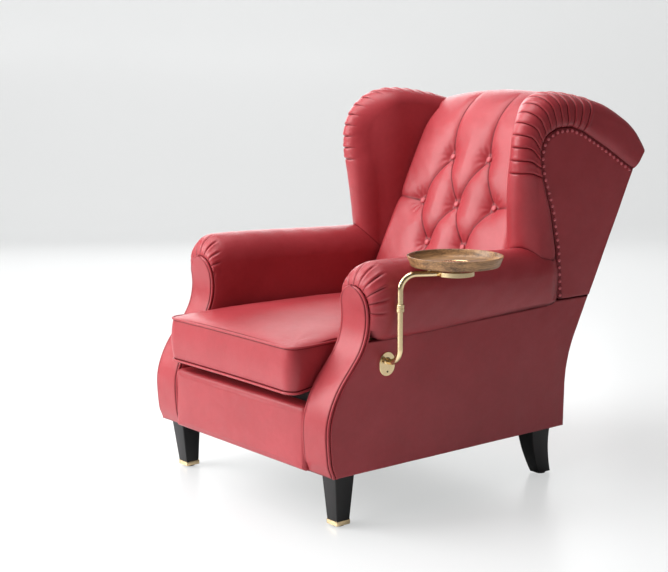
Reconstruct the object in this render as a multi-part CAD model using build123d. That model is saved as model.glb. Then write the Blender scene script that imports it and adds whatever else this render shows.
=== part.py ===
from build123d import *
import math
import os

# Wing club chair with a rolled arm on each side and a swing tray on the sitter's left arm.
# Millimetres. The chair faces -Y, +Z is up, and the tray is on the +X side.
# Places are given from the middle of the seat box and the floor, and every finished piece is
# moved once, so that the origin lies under the middle of the whole object.

# Overall sizes
body_width = 783.0
body_front_y = -423.0
body_back_y = 418.0
leg_height = 140.0
panel_thickness = 7.5
facing_thickness = 14.0
fit_gap = 0.3
cut_overrun = 60.0
half_width = body_width / 2
arm_width = 113.5
seat_half_width = half_width - arm_width
panel_inner_x = half_width - panel_thickness

# Front facing, seen from the side: upright, then back under the arm, then up to the arch
facing_knee_rise = 189.0
facing_knee_z = leg_height + facing_knee_rise
facing_neck_setback = 125.0
facing_neck_y = body_front_y + facing_neck_setback
facing_neck_rise = 341.0
facing_neck_z = leg_height + facing_neck_rise
facing_top_setback = 104.5
facing_top_y = body_front_y + facing_top_setback
facing_top_rise = 468.0
facing_top_z = leg_height + facing_top_rise
facing_knee_radius = 200.0
facing_neck_radius = 160.0
facing_width = 105.0
piping_diameter = 7.0
piping_proud = 3.0
side_setback = 1.5
piping_radius = piping_diameter / 2
facing_inner_x = half_width - facing_width
arch_radius = facing_width / 2
arch_centre_x = half_width - arch_radius

# Arm
arm_overhang = 33.5
arm_crown_shift = 13.0
arm_inner_pad = 16.0
arm_roll_outer_x = half_width + arm_overhang
arm_crown_x = arch_centre_x + arm_crown_shift
arm_top_rise = 526.0
arm_top_z = leg_height + arm_top_rise
arm_inner_top_rise = 448.0
arm_inner_top_z = leg_height + arm_inner_top_rise
arm_outer_rise = 440.0
arm_outer_z = leg_height + arm_outer_rise
arm_under_height = 330.0
arm_under_z = leg_height + arm_under_height
arm_under_rise = 20.0
arm_fall = 14.0
arm_outer_taper = 17.0
arm_dome_length = 62.0
arm_end_setback = 58.0
arm_end_y = body_back_y - arm_end_setback
arm_front_under_rise = 365.0
arm_front_under_z = leg_height + arm_front_under_rise
arm_dome_steps = 7

# Back
back_lean = 27.0
back_knee_rise = 190.0
back_knee_z = leg_height + back_knee_rise
back_knee_radius = 350.0
back_base_slope = 3.0
back_panel_top_rise = 790.0
back_panel_top_z = leg_height + back_panel_top_rise
back_face_setback = 182.0
back_face_y = body_back_y - back_face_setback
back_face_rise = 340.0
back_face_z = leg_height + back_face_rise
back_face_lean = 22.5
back_side_gap = 12.0
back_half_width = seat_half_width + back_side_gap
back_web_inset = 16.0
back_web_half_width = seat_half_width - back_web_inset
back_face_top_rise = 810.0
back_face_top_z = leg_height + back_face_top_rise
crest_rise = 924.0
crest_z = leg_height + crest_rise
crest_setback = 172.0
crest_y = body_back_y + crest_setback
crest_arch = 30.0
back_crown = 16.0
back_pad_bottom_rise = 205.0
back_pad_bottom_z = leg_height + back_pad_bottom_rise
back_frame_depth = 55.0
lean_run = math.tan(math.radians(back_lean))
face_run = math.tan(math.radians(back_face_lean))
frame_rear = panel_thickness + fit_gap
frame_front = frame_rear + back_frame_depth

# Buttons of the tufted back
button_spacing = 150.0
button_diameter = 22.0
button_height = 7.0
tuft_depth = 26.0
tuft_radius = 52.0
tuft_groove_width = 20.0
tuft_groove_depth = 11.0
button_row_rises = (738.0, 605.0, 489.0)
button_row_z = tuple(leg_height + rise for rise in button_row_rises)
button_row_count = (2, 3, 2)

# Wing
wing_front_setback = 183.0
wing_front_y = body_back_y - wing_front_setback
wing_curve_radius = 150.0
wing_top_rise = 932.0
wing_top_z = leg_height + wing_top_rise
wing_top_fall = 23.0
wing_inner_outset = 7.0
wing_inner_x = seat_half_width + wing_inner_outset
wing_outer_outset = 3.0
wing_outer_x = half_width + wing_outer_outset
wing_edge_radius = 42.0
wing_foot_rise = 365.0
wing_foot_z = leg_height + wing_foot_rise
wing_flare_top_rise = 740.0
wing_flare_top_z = leg_height + wing_flare_top_rise
wing_flare_low_rise = 510.0
wing_flare_low_z = leg_height + wing_flare_low_rise
wing_flare_in = 26.0
wing_flare_back = 24.0
wing_inner_slope = 0.22
seam_foot_setback = 44.0
seam_foot_y = body_back_y - seam_foot_setback
seam_waist_rise = 470.0
seam_waist_z = leg_height + seam_waist_rise
seam_shoulder_setback = 111.0
seam_shoulder_y = body_back_y - seam_shoulder_setback
seam_shoulder_rise = 725.0
seam_shoulder_z = leg_height + seam_shoulder_rise
seam_top_rise = 844.0
seam_top_z = leg_height + seam_top_rise
seam_peak_setback = 38.0
seam_peak_y = body_back_y - seam_peak_setback
seam_radius = 55.0

wing_fall_run = math.tan(math.radians(wing_top_fall))

# Nail trim
nail_diameter = 9.0
nail_pitch = 19.0
nail_height = 3.5
nail_inset = 8.0

# Timber frame
rail_height = 150.0
rail_thickness = 28.0
post_depth = 50.0
post_inner_outset = 24.0
post_inner_x = seat_half_width + post_inner_outset
post_outer_inset = 13.5
post_outer_x = half_width - post_outer_inset
front_post_top_rise = 445.0
front_post_top_z = leg_height + front_post_top_rise
arm_rail_rise = 360.0
arm_rail_z = leg_height + arm_rail_rise
arm_rail_height = 28.0
arm_rail_inner_inset = 69.5
arm_rail_inner_x = half_width - arm_rail_inner_inset
arm_rail_outer_inset = 17.5
arm_rail_outer_x = half_width - arm_rail_outer_inset
back_post_inner_inset = 61.5
back_post_inner_x = half_width - back_post_inner_inset
back_post_outer_inset = 11.5
back_post_outer_x = half_width - back_post_outer_inset
back_post_top_rise = 745.0
back_post_top_z = leg_height + back_post_top_rise
back_rail_depth = 28.0
back_lower_rail_rise = 220.0
back_lower_rail_z = leg_height + back_lower_rail_rise
back_lower_rail_height = 70.0
back_top_rail_rise = 710.0
back_top_rail_z = leg_height + back_top_rail_rise
back_top_rail_height = 55.0
rear_rail_setback = 53.0
rear_rail_y = body_back_y - rear_rail_setback
wing_board_inner_inset = 55.5
wing_board_inner_x = half_width - wing_board_inner_inset
wing_board_thickness = 22.0
wing_board_inset = 38.0
block_leg = 70.0
block_height = 60.0
block_rise = 20.0
block_z = leg_height + block_rise

# Webbing and deck
web_thickness = 2.0
seat_web_width = 50.0
seat_web_count = 7
seat_cross_count = 6
back_web_width = 50.0
back_web_count = 5
back_cross_count = 5
deck_thickness = 46.0
dust_cover_thickness = 2.0
rail_bottom_z = leg_height + dust_cover_thickness
rail_top_z = rail_bottom_z + rail_height
deck_top_z = rail_top_z + 2 * web_thickness + deck_thickness

# Front rail pad
front_pad_overhang = 10.0
front_pad_y = body_front_y - front_pad_overhang
front_pad_thickness = 48.0
front_pad_top_rise = 14.0
front_pad_top_z = rail_top_z + front_pad_top_rise
front_pad_radius = 12.0

# Seat cushion
cushion_overhang = 37.0
cushion_front_y = body_front_y - cushion_overhang
deck_clearance = 0.4
cushion_bottom_z = deck_top_z + deck_clearance
cushion_edge_height = 112.6
cushion_top_z = cushion_bottom_z + cushion_edge_height
cushion_crown = 22.0
cushion_side_gap = 4.0
cushion_half_width = seat_half_width - cushion_side_gap
cushion_rear_gap = 6.0
cushion_corner_radius = 22.0
cushion_draw_in = 5.0
cushion_piping = 8.0

# Legs
front_leg_inset = 45.5
front_leg_x = half_width - front_leg_inset
front_leg_setback = 56.0
front_leg_y = body_front_y + front_leg_setback
front_leg_top_width = 56.0
front_leg_top_depth = 62.0
front_leg_foot_width = 40.0
front_leg_foot_shift = 5.0
back_leg_inset = 35.5
back_leg_x = half_width - back_leg_inset
back_leg_setback = 86.0
back_leg_y = body_back_y - back_leg_setback
back_leg_top_width = 60.0
back_leg_top_depth = 70.0
back_leg_foot_width = 35.0
back_leg_foot_depth = 48.0
back_leg_rake = 42.0
back_leg_draw_in = 10.0
back_leg_steps = 5
back_leg_curve = 1.6
glide_height = 5.0
glide_diameter = 30.0
cap_height = 12.0
cap_wall = 1.6
cap_floor = 2.5
bolt_diameter = 8.0
bolt_length = 90.0
bolt_in_leg = 40.0

# Tray bracket
tube_diameter = 15.0
tube_outset = 49.5
tube_x = half_width + tube_outset
tube_setback = 175.0
tube_y = body_front_y + tube_setback
tube_exit_rise = 276.0
tube_exit_z = leg_height + tube_exit_rise
tube_low_radius = 38.0
tube_top_rise = 500.0
tube_top_z = leg_height + tube_top_rise
tube_top_radius = 40.0
plate_width = 50.0
plate_height = 62.0
plate_thickness = 4.0
plate_rise = 269.0
plate_z = leg_height + plate_rise
plate_screw_diameter = 8.0
plate_screw_head = 1.8
plate_screw_shank = 4.0
plate_screw_length = 18.0
plate_screw_share = 0.62
collar_rise = 407.5
collar_z = leg_height + collar_rise
collar_height = 19.0
collar_diameter = 21.0
running_clearance = 0.05
joint_step = 0.1
hub_diameter = 26.0
hub_height = 12.0
disc_socket = 14.0
disc_diameter = 98.0
disc_height = 12.0
pin_diameter = 10.0
pin_length = 20.0
clamp_reach = 74.0
clamp_head_diameter = 12.0
clamp_head_height = 7.0
clamp_shank_diameter = 5.0
clamp_shank_length = 10.0
tray_reach = 140.0
tray_swing = 26.0
tray_diameter = 240.0
tray_height = 26.0
tray_floor = 7.0
tray_wall = 6.0
tray_flare = 10.0
inlay_diameter = 92.0
inlay_thickness = 1.5

tube_radius = tube_diameter / 2
disc_z = tube_top_z - disc_height / 2
hub_z = tube_top_z + disc_height / 2
tray_z = hub_z + hub_height
swing_x = math.sin(math.radians(tray_swing))
swing_y = math.cos(math.radians(tray_swing))
tray_x = tube_x + tray_reach * swing_x
tray_y = tube_y + tray_reach * swing_y

parts = {}


def side_prism(face, low_x, high_x):
    """A face drawn as (Y, Z), made solid between two places along X."""
    return extrude(Plane.YZ.offset(low_x) * face, amount=high_x - low_x, dir=(1, 0, 0))


def front_prism(face, low_y, high_y):
    """A face drawn as (X, Z), made solid between two places along Y."""
    plane = Plane(origin=(0, low_y, 0), x_dir=(1, 0, 0), z_dir=(0, -1, 0))
    return extrude(plane * face, amount=high_y - low_y, dir=(0, 1, 0))


def block(low, high):
    """A box from its lowest corner to its highest corner."""
    size = [h - l for l, h in zip(low, high)]
    middle = [(h + l) / 2 for l, h in zip(low, high)]
    return Pos(*middle) * Box(*size)


def join_lines(first, second):
    """The face between two open lines that both run upwards."""
    top = Line(first @ 1, second @ 1)
    foot = Line(first @ 0, second @ 0)
    return make_face([*first.edges(), top, *second.edges(), foot])


def facing_line(shift, foot_z=leg_height, top_z=facing_top_z):
    """The side view of the front facing's surface, shifted rearwards, with its ends lengthened."""
    lean = (facing_top_y - facing_neck_y) / (facing_top_z - facing_neck_z)
    top_y = facing_neck_y + lean * (top_z - facing_neck_z)
    points = [
        (body_front_y + shift, foot_z),
        (body_front_y + shift, facing_knee_z),
        (facing_neck_y + shift, facing_neck_z),
        (top_y + shift, top_z),
    ]
    return FilletPolyline(*points, radius=[facing_knee_radius, facing_neck_radius])


def facing_y(z):
    """Where the facing's straight upper stretch lies at a height."""
    lean = (facing_top_y - facing_neck_y) / (facing_top_z - facing_neck_z)
    return facing_neck_y + lean * (z - facing_neck_z)


def back_y(z):
    """Where the outside back lies at a height, above its knee."""
    knee_y = body_back_y + back_base_slope
    return knee_y + (z - back_knee_z) * lean_run


def back_line(shift, foot_z, top_z):
    """The side view of the outside back, shifted forwards."""
    if foot_z > back_knee_z:
        return Polyline((back_y(foot_z) - shift, foot_z), (back_y(top_z) - shift, top_z))
    slope = back_base_slope / (back_knee_z - leg_height)
    foot_y = body_back_y + slope * (foot_z - leg_height)
    points = [
        (foot_y - shift, foot_z),
        (body_back_y + back_base_slope - shift, back_knee_z),
        (back_y(top_z) - shift, top_z),
    ]
    return FilletPolyline(*points, radius=back_knee_radius)


def face_y(z):
    """Where the front of the inside back lies at a height."""
    return back_face_y + (z - back_face_z) * face_run


def both_sides(name, left_part):
    """Keep a piece and its mirror image. The sitter's left is +X."""
    parts[name + "_left"] = left_part
    parts[name + "_right"] = mirror(left_part, about=Plane.YZ)


def swept_tube(path, diameter):
    section = Plane(origin=path @ 0, z_dir=path % 0) * Circle(diameter / 2)
    return sweep(section, path=path)


# Outlines of the wing, drawn as (Y, Z)
def wing_outline(inset, foot_z, rear_shift):
    """The wing seen from the side: front edge, top curve, falling top edge, leaning rear edge."""
    fall = math.radians(wing_top_fall)
    radius = wing_curve_radius - inset
    centre_y = wing_front_y + wing_curve_radius
    centre_z = wing_top_z - wing_curve_radius
    front = (centre_y - radius, centre_z)
    high = (centre_y + radius * math.sin(fall), centre_z + radius * math.cos(fall))
    bisector = math.radians((wing_top_fall - 90.0) / 2)
    middle = (centre_y + radius * math.sin(bisector), centre_z + radius * math.cos(bisector))
    # The falling top edge ends where it meets the leaning rear edge
    rear_offset = back_y(high[1]) - rear_shift - high[0]
    run = rear_offset / (1 + math.tan(fall) * lean_run)
    corner = (high[0] + run, high[1] - run * math.tan(fall))
    foot_rear = (back_y(foot_z) - rear_shift, foot_z)
    foot_front = (front[0], foot_z)
    return make_face(
        [
            Line(foot_front, front),
            ThreePointArc(front, middle, high),
            Line(high, corner),
            Line(corner, foot_rear),
            Line(foot_rear, foot_front),
        ]
    )


def seam_line(inset=0.0, foot_z=arm_under_z, rear_inset=panel_thickness):
    """The outside wing panel's front and top seam, from its foot to the outside back."""
    top_z = seam_top_z - inset
    # The seam's falling top ends where it meets the leaning outside back
    meeting = wing_fall_run * lean_run
    rear_y = (back_y(top_z) - rear_inset + seam_peak_y * meeting) / (1 + meeting)
    points = [
        (seam_foot_y + inset, foot_z),
        (seam_foot_y + inset, seam_waist_z),
        (seam_shoulder_y + inset, seam_shoulder_z),
        (seam_shoulder_y + inset, top_z + (seam_peak_y - seam_shoulder_y) * wing_fall_run),
        (rear_y, top_z - (rear_y - seam_peak_y) * wing_fall_run),
    ]
    return FilletPolyline(*points, radius=[3 * seam_radius, 2 * seam_radius, seam_radius])


# Sections of the arm roll, drawn as (X, Z) at a place along Y
def arm_section(y, growth, fall=0.0, taper=0.0, rise=0.0):
    """The roll between its front arch (growth 0) and its full size (growth 1)."""

    def between(small, full):
        return small + (full - small) * growth

    inner = between(facing_inner_x, seat_half_width)
    outer = between(half_width, arm_roll_outer_x) - taper
    crown_x = between(arch_centre_x, arm_crown_x)
    top = between(facing_top_z, arm_top_z) - fall
    inner_top = between(facing_top_z - arch_radius, arm_inner_top_z) - fall
    outer_mid = between(facing_top_z - arch_radius, arm_outer_z) - fall / 2
    under = between(arm_front_under_z, arm_under_z) + rise
    tuck_x = between(half_width - piping_diameter, half_width)
    diagonal = math.sqrt(0.5)
    a = (inner, under)
    b = (inner, inner_top)
    t = (crown_x, top)
    c = (outer, outer_mid)
    d = (tuck_x, under)
    inner_mid = (crown_x + (inner - crown_x) * diagonal, inner_top + (top - inner_top) * diagonal)
    outer_arc = (crown_x + (outer - crown_x) * diagonal, outer_mid + (top - outer_mid) * diagonal)
    tuck_mid = (outer - (outer - tuck_x) * (1 - diagonal), outer_mid - (outer_mid - under) * diagonal)
    face = make_face(
        [
            Line(a, b),
            ThreePointArc(b, inner_mid, t),
            ThreePointArc(t, outer_arc, c),
            ThreePointArc(c, tuck_mid, d),
            Line(d, a),
        ]
    )
    return Plane(origin=(0, y, 0), x_dir=(1, 0, 0), z_dir=(0, -1, 0)) * face


def make_arm_blank():
    front_y = facing_y(facing_top_z) + piping_radius
    sections = []
    for step in range(arm_dome_steps):
        angle = math.pi / 2 * step / (arm_dome_steps - 1)
        y = front_y + arm_dome_length * (1 - math.cos(angle))
        sections.append(arm_section(y, math.sin(angle)))
    sections.append(arm_section(arm_end_y, 1.0, arm_fall, arm_outer_taper, arm_under_rise))
    roll = loft(sections, ruled=True)
    # Flat inner side of the arm, from the seat deck up into the roll
    slab_top_z = arm_under_z + arm_under_rise
    slab_line = facing_line(piping_radius + side_setback)
    rear_line = back_line(frame_front + fit_gap, leg_height, facing_top_z)
    slab = side_prism(join_lines(slab_line, rear_line), seat_half_width, seat_half_width + arm_inner_pad)
    slab_zone = block(
        (seat_half_width, body_front_y, deck_top_z - rail_thickness),
        (seat_half_width + arm_inner_pad, body_back_y + cut_overrun, slab_top_z),
    )
    return roll + (slab & slab_zone)


def make_front_post():
    band = join_lines(
        facing_line(facing_thickness + fit_gap, rail_bottom_z, front_post_top_z),
        facing_line(facing_thickness + fit_gap + post_depth, rail_bottom_z, front_post_top_z),
    )
    return side_prism(band, post_inner_x, post_outer_x)


def make_back_post():
    band = join_lines(
        back_line(frame_front, rail_bottom_z, back_post_top_z),
        back_line(frame_rear, rail_bottom_z, back_post_top_z),
    )
    return side_prism(band, back_post_inner_x, back_post_outer_x)


def back_band(depth, near, low_z, high_z, low_x, high_x):
    """A board or strap that lies along the lean of the back."""
    far_line = back_line(near + depth, low_z, high_z)
    near_line = back_line(near, low_z, high_z)
    return side_prism(join_lines(far_line, near_line), low_x, high_x)


def facing_front_outline(inset):
    """The facing seen from the front: upright sides and a round arch."""
    inner = facing_inner_x + inset
    outer = half_width - inset
    spring_z = facing_top_z - arch_radius
    low = leg_height
    return make_face(
        [
            Line((inner, low), (inner, spring_z)),
            ThreePointArc((inner, spring_z), (arch_centre_x, facing_top_z - inset), (outer, spring_z)),
            Line((outer, spring_z), (outer, low)),
            Line((outer, low), (inner, low)),
        ]
    )


def behind_back(shift, foot_z=leg_height):
    """Everything behind a surface that lies forward of the outside back by a shift."""
    near = back_line(shift, foot_z, wing_top_z + cut_overrun)
    far = back_line(shift - 4 * cut_overrun, foot_z, wing_top_z + cut_overrun)
    return side_prism(join_lines(near, far), 0, 2 * half_width)


# Timber frame
front_post = make_front_post()
back_post = make_back_post()
both_sides("front_post", front_post)
both_sides("back_post", back_post)

side_rail = block(
    (panel_inner_x - rail_thickness, body_front_y + facing_thickness + fit_gap + post_depth, rail_bottom_z),
    (panel_inner_x, body_back_y - frame_front, rail_top_z),
)
both_sides("side_rail", side_rail - front_post)

front_rail_y = front_pad_y + front_pad_thickness
parts["front_seat_rail"] = block(
    (-post_inner_x, front_rail_y, rail_bottom_z),
    (post_inner_x, front_rail_y + rail_thickness, rail_top_z),
)
rear_post_front_y = body_back_y - frame_front
parts["rear_seat_rail"] = block(
    (-back_post_inner_x, rear_rail_y, rail_bottom_z),
    (back_post_inner_x, rear_rail_y + rail_thickness, rail_top_z),
)
parts["back_lower_rail"] = back_band(
    back_rail_depth,
    frame_front - back_rail_depth,
    back_lower_rail_z,
    back_lower_rail_z + back_lower_rail_height,
    -back_post_inner_x,
    back_post_inner_x,
)
parts["back_top_rail"] = back_band(
    back_rail_depth,
    frame_front - back_rail_depth,
    back_top_rail_z,
    back_top_rail_z + back_top_rail_height,
    -back_post_inner_x,
    back_post_inner_x,
)


def corner_block(x, y, toward_y):
    """A glued triangular block in an inner corner of the seat rails."""
    side = 1 if x > 0 else -1
    corner = (x, y)
    face = make_face(Polyline(corner, (x - side * block_leg, y), (x, y + toward_y * block_leg), corner))
    return extrude(Pos(0, 0, block_z) * face, amount=block_height, dir=(0, 0, 1))


block_x = panel_inner_x - rail_thickness
block_front_y = front_rail_y + rail_thickness
corner_blocks = []
for side in (1, -1):
    corner_blocks.append(corner_block(side * block_x, block_front_y, 1))
    corner_blocks.append(corner_block(side * back_post_inner_x, rear_rail_y, -1))
parts["corner_blocks"] = Compound(children=[solid for piece in corner_blocks for solid in piece.solids()])

arm_rail = block(
    (arm_rail_inner_x, facing_neck_y, arm_rail_z),
    (arm_rail_outer_x, back_y(arm_rail_z), arm_rail_z + arm_rail_height),
)
arm_rail = arm_rail - front_post
arm_rail_end = back_line(frame_front, arm_rail_z, arm_rail_z + arm_rail_height)
arm_rail_zone = make_face(
    [
        *arm_rail_end.edges(),
        Polyline(arm_rail_end @ 1, (body_front_y, arm_rail_z + arm_rail_height), (body_front_y, arm_rail_z),
                 arm_rail_end @ 0),
    ]
)
arm_rail = arm_rail & side_prism(arm_rail_zone, arm_rail_inner_x, arm_rail_outer_x)
arm_rail = arm_rail.solids().sort_by(Axis.Y)[-1]
both_sides("arm_rail", arm_rail)

behind_frame = behind_back(frame_rear)
below_board = block((0, 0, 0), (2 * half_width, 2 * half_width, arm_rail_z + arm_rail_height))
board_face = wing_outline(wing_board_inset, arm_rail_z, frame_rear)
wing_board = side_prism(board_face, wing_board_inner_x, wing_board_inner_x + wing_board_thickness)
wing_board = wing_board - back_post - arm_rail - behind_frame - below_board
wing_board = wing_board.solids().sort_by(SortBy.VOLUME)[-1]
both_sides("wing_board", wing_board)

# Arm pads
arm_blank = make_arm_blank()
facing_pocket = front_prism(facing_front_outline(-fit_gap), body_front_y - cut_overrun, body_back_y)
facing_pocket = facing_pocket & side_prism(
    join_lines(
        facing_line(-cut_overrun, leg_height, facing_top_z + cut_overrun),
        facing_line(facing_thickness, leg_height, facing_top_z + cut_overrun),
    ),
    facing_inner_x - fit_gap,
    half_width + fit_gap,
)
arm_pad = arm_blank - front_post - arm_rail - wing_board - facing_pocket - parts["back_lower_rail"]
both_sides("arm_pad", arm_pad)

# Facings and their piping
facing_band = side_prism(
    join_lines(facing_line(0.0, leg_height), facing_line(facing_thickness, leg_height)),
    facing_inner_x,
    half_width,
)
facing_outline = front_prism(
    facing_front_outline(panel_thickness + fit_gap), body_front_y - cut_overrun, body_back_y
)
both_sides("front_facing", facing_band & facing_outline)


def piping_path():
    """Up the inner edge of the facing, round the arch and down the outer edge."""
    shift = piping_radius - piping_proud
    spring_z = facing_top_z - arch_radius
    edge = facing_line(shift, leg_height, spring_z)
    low_x = facing_inner_x + piping_radius
    high_x = half_width - piping_radius
    inner = Plane.YZ.offset(low_x) * edge
    outer = Plane.YZ.offset(high_x) * edge
    inner_top = Vector(low_x, (edge @ 1).X, (edge @ 1).Y)
    outer_top = Vector(high_x, (edge @ 1).X, (edge @ 1).Y)
    crown = Vector(arch_centre_x, facing_y(facing_top_z - piping_radius) + shift, facing_top_z - piping_radius)
    arch = ThreePointArc(inner_top, crown, outer_top)
    return Wire(inner.edges() + arch.edges() + outer.edges())


pipe_path = piping_path()
facing_piping = swept_tube(pipe_path, piping_diameter)
both_sides("facing_piping", facing_piping)

# Outside arm panels
panel_sheet = join_lines(
    facing_line(piping_radius + side_setback),
    back_line(panel_thickness, leg_height, facing_top_z),
)
step_z = arm_under_z + arm_under_rise - fit_gap
above_panel = make_face(
    Polyline(
        (body_front_y, arm_under_z - fit_gap),
        (facing_top_y + piping_radius + arm_dome_length, arm_under_z - fit_gap),
        (arm_end_y + fit_gap, step_z),
        (arm_end_y + fit_gap, wing_foot_z - fit_gap),
        (back_y(facing_top_z), wing_foot_z - fit_gap),
        (back_y(facing_top_z), facing_top_z + cut_overrun),
        (body_front_y, facing_top_z + cut_overrun),
        (body_front_y, arm_under_z - fit_gap),
    )
)
outside_arm = side_prism(panel_sheet, panel_inner_x, half_width)
outside_arm = outside_arm - side_prism(above_panel, panel_inner_x - cut_overrun, half_width + cut_overrun)
outside_arm = (outside_arm - facing_piping).solids().sort_by(SortBy.VOLUME)[-1]
both_sides("outside_arm", outside_arm)

# Wings
def wing_inner(y):
    """The wing's inner face comes in towards the back."""
    return wing_inner_x - wing_inner_slope * (y - wing_front_y)


def wing_section(z, flare):
    """The wing from above at a height. The flare draws its front roll in and back."""
    front_y = wing_front_y + flare * wing_flare_back
    draw_in = flare * wing_flare_in
    rear_y = back_y(z) + panel_thickness
    outline = make_face(
        Polyline(
            (wing_inner(rear_y), rear_y),
            (wing_inner_x - draw_in, front_y),
            (wing_outer_x - draw_in, front_y),
            (wing_outer_x, seam_shoulder_y),
            (wing_outer_x, rear_y),
            (wing_inner(rear_y), rear_y),
        )
    )
    corners = outline.vertices().group_by(Axis.Y)[0]
    return Pos(0, 0, z) * fillet(corners, wing_edge_radius)


wing_slab = side_prism(wing_outline(0.0, arm_under_z, -panel_thickness), 0, wing_outer_x)
inner_plan = make_face(
    Polyline(
        (0, -body_back_y),
        (wing_inner(-body_back_y), -body_back_y),
        (wing_inner(2 * body_back_y), 2 * body_back_y),
        (0, 2 * body_back_y),
        (0, -body_back_y),
    )
)
wing_slab = wing_slab - extrude(inner_plan, amount=2 * wing_top_z, dir=(0, 0, 1))
round_edges = [
    edge
    for edge in wing_slab.edges()
    if abs(edge.position_at(0).Y - edge.position_at(1).Y) + abs(edge.position_at(0).Z - edge.position_at(1).Z)
    > abs(edge.position_at(0).X - edge.position_at(1).X)
    and edge.position_at(0.5).Z > arm_under_z + fit_gap
    and edge.position_at(0.5).Y < back_y(edge.position_at(0.5).Z) - panel_thickness
]
wing_slab = fillet(round_edges, wing_edge_radius)
below_flare = block((0, 0, 0), (2 * half_width, 2 * body_back_y, wing_flare_top_z))
wing_flare = loft([wing_section(wing_flare_low_z, 1.0), wing_section(wing_flare_top_z, 0.0)], ruled=True)
flare_foot = loft([wing_section(arm_under_z, 1.0), wing_section(wing_flare_low_z, 1.0)], ruled=True)
flare_foot = flare_foot & block((seat_half_width, 0, 0), (2 * half_width, 2 * half_width, wing_flare_low_z))
wing_slab = (wing_slab - below_flare) + wing_flare + flare_foot
behind_wing = behind_back(panel_thickness)
below_wing = block((0, arm_end_y, 0), (2 * half_width, 2 * half_width, wing_foot_z))
seam = seam_line()
seam_rear = back_line(panel_thickness - cut_overrun, arm_under_z, (seam @ 1).Y + cut_overrun * wing_fall_run)
seam_face = make_face(
    [
        *seam.edges(),
        Line(seam @ 1, seam_rear @ 1),
        *seam_rear.edges(),
        Line(seam_rear @ 0, seam @ 0),
    ]
)
panel_pocket = side_prism(seam_face, panel_inner_x, wing_outer_x + cut_overrun)
wing_pad = wing_slab - arm_blank - wing_board - back_post - arm_rail - parts["back_top_rail"]
wing_pad = wing_pad - panel_pocket - behind_wing - below_wing - outside_arm
frame_zone = block((0, 0, 0), (wing_inner_x, 2 * body_back_y, back_top_rail_z + back_top_rail_height))
wing_pad = wing_pad - (behind_back(frame_front + 2 * web_thickness + fit_gap) & frame_zone)
wing_pad = wing_pad.solids().sort_by(SortBy.VOLUME)[-1]
both_sides("wing_pad", wing_pad)
outside_wing = side_prism(seam_face, panel_inner_x, half_width) - behind_wing - outside_arm - arm_blank
outside_wing = outside_wing.solids().sort_by(SortBy.VOLUME)[-1]
both_sides("outside_wing", outside_wing)


def make_nails():
    path = seam_line(nail_inset, wing_foot_z + nail_inset, nail_inset + panel_thickness)
    count = int(path.length / nail_pitch)
    nails = []
    for index in range(count):
        spot = path @ ((index + 0.5) / count)
        dome = Cylinder(nail_diameter / 2, nail_height, align=(Align.CENTER, Align.CENTER, Align.MIN))
        dome = chamfer(dome.edges().sort_by(Axis.Z)[-1:], nail_height / 2)
        nails.append(Pos(half_width, spot.X, spot.Y) * Rot(0, 90, 0) * dome)
    return Compound(children=[solid for nail in nails for solid in nail.solids()])


both_sides("wing_nails", make_nails())


# Inside back, lofted across the chair, with its tufts sewn in
def back_section(x, share):
    """Side view of the back pad at a share of its half width from the middle."""
    set_back = back_crown * share**2
    crest_drop = crest_arch * share**2
    hook_z = back_top_rail_z + back_top_rail_height
    rear = frame_rear
    frame = frame_front + 2 * web_thickness + fit_gap
    foot = (face_y(back_pad_bottom_z) + set_back, back_pad_bottom_z)
    face_top = (face_y(back_face_top_z) + set_back, back_face_top_z - crest_drop)
    crest = (crest_y, crest_z - crest_drop)
    rear_top = (back_y(back_panel_top_z) - rear, back_panel_top_z)
    hook_out = (back_y(hook_z) - rear, hook_z)
    hook_in = (back_y(hook_z) - frame, hook_z)
    rear_foot = (back_y(back_pad_bottom_z) - frame, back_pad_bottom_z)
    front_mid = (
        face_top[0] + (crest[0] - face_top[0]) * (1 - math.cos(math.pi / 4)),
        face_top[1] + (crest[1] - face_top[1]) * math.sin(math.pi / 4),
    )
    rear_mid = (
        crest[0] + (rear_top[0] - crest[0]) * math.sin(math.pi / 4),
        rear_top[1] + (crest[1] - rear_top[1]) * math.sin(math.pi / 4),
    )
    face = make_face(
        [
            Line(foot, face_top),
            ThreePointArc(face_top, front_mid, crest),
            ThreePointArc(crest, rear_mid, rear_top),
            Line(rear_top, hook_out),
            Line(hook_out, hook_in),
            Line(hook_in, rear_foot),
            Line(rear_foot, foot),
        ]
    )
    return Plane.YZ.offset(x) * face


section_shares = (-1.0, -0.7, -0.35, 0.0, 0.35, 0.7, 1.0)
back_pad = loft([back_section(share * back_half_width, share) for share in section_shares], ruled=False)


def button_places():
    places = []
    for z, count in zip(button_row_z, button_row_count):
        for index in range(count):
            places.append(((index - (count - 1) / 2) * button_spacing, z))
    return places


def crown_shift(x):
    return back_crown * (x / back_half_width) ** 2


def on_face(x, z, depth):
    """A place under the front of the inside back, with its Z axis out of the pad."""
    lean = math.radians(back_face_lean)
    y = face_y(z) + crown_shift(x) + depth * math.cos(lean)
    origin = (x, y, z - depth * math.sin(lean))
    return Location(Plane(origin=origin, x_dir=(1, 0, 0), z_dir=(0, -math.cos(lean), math.sin(lean))))


def tuft_cone(x, z):
    cone = Cone(button_diameter / 2, tuft_radius, tuft_depth, align=(Align.CENTER, Align.CENTER, Align.MIN))
    return on_face(x, z, tuft_depth) * cone


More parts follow.
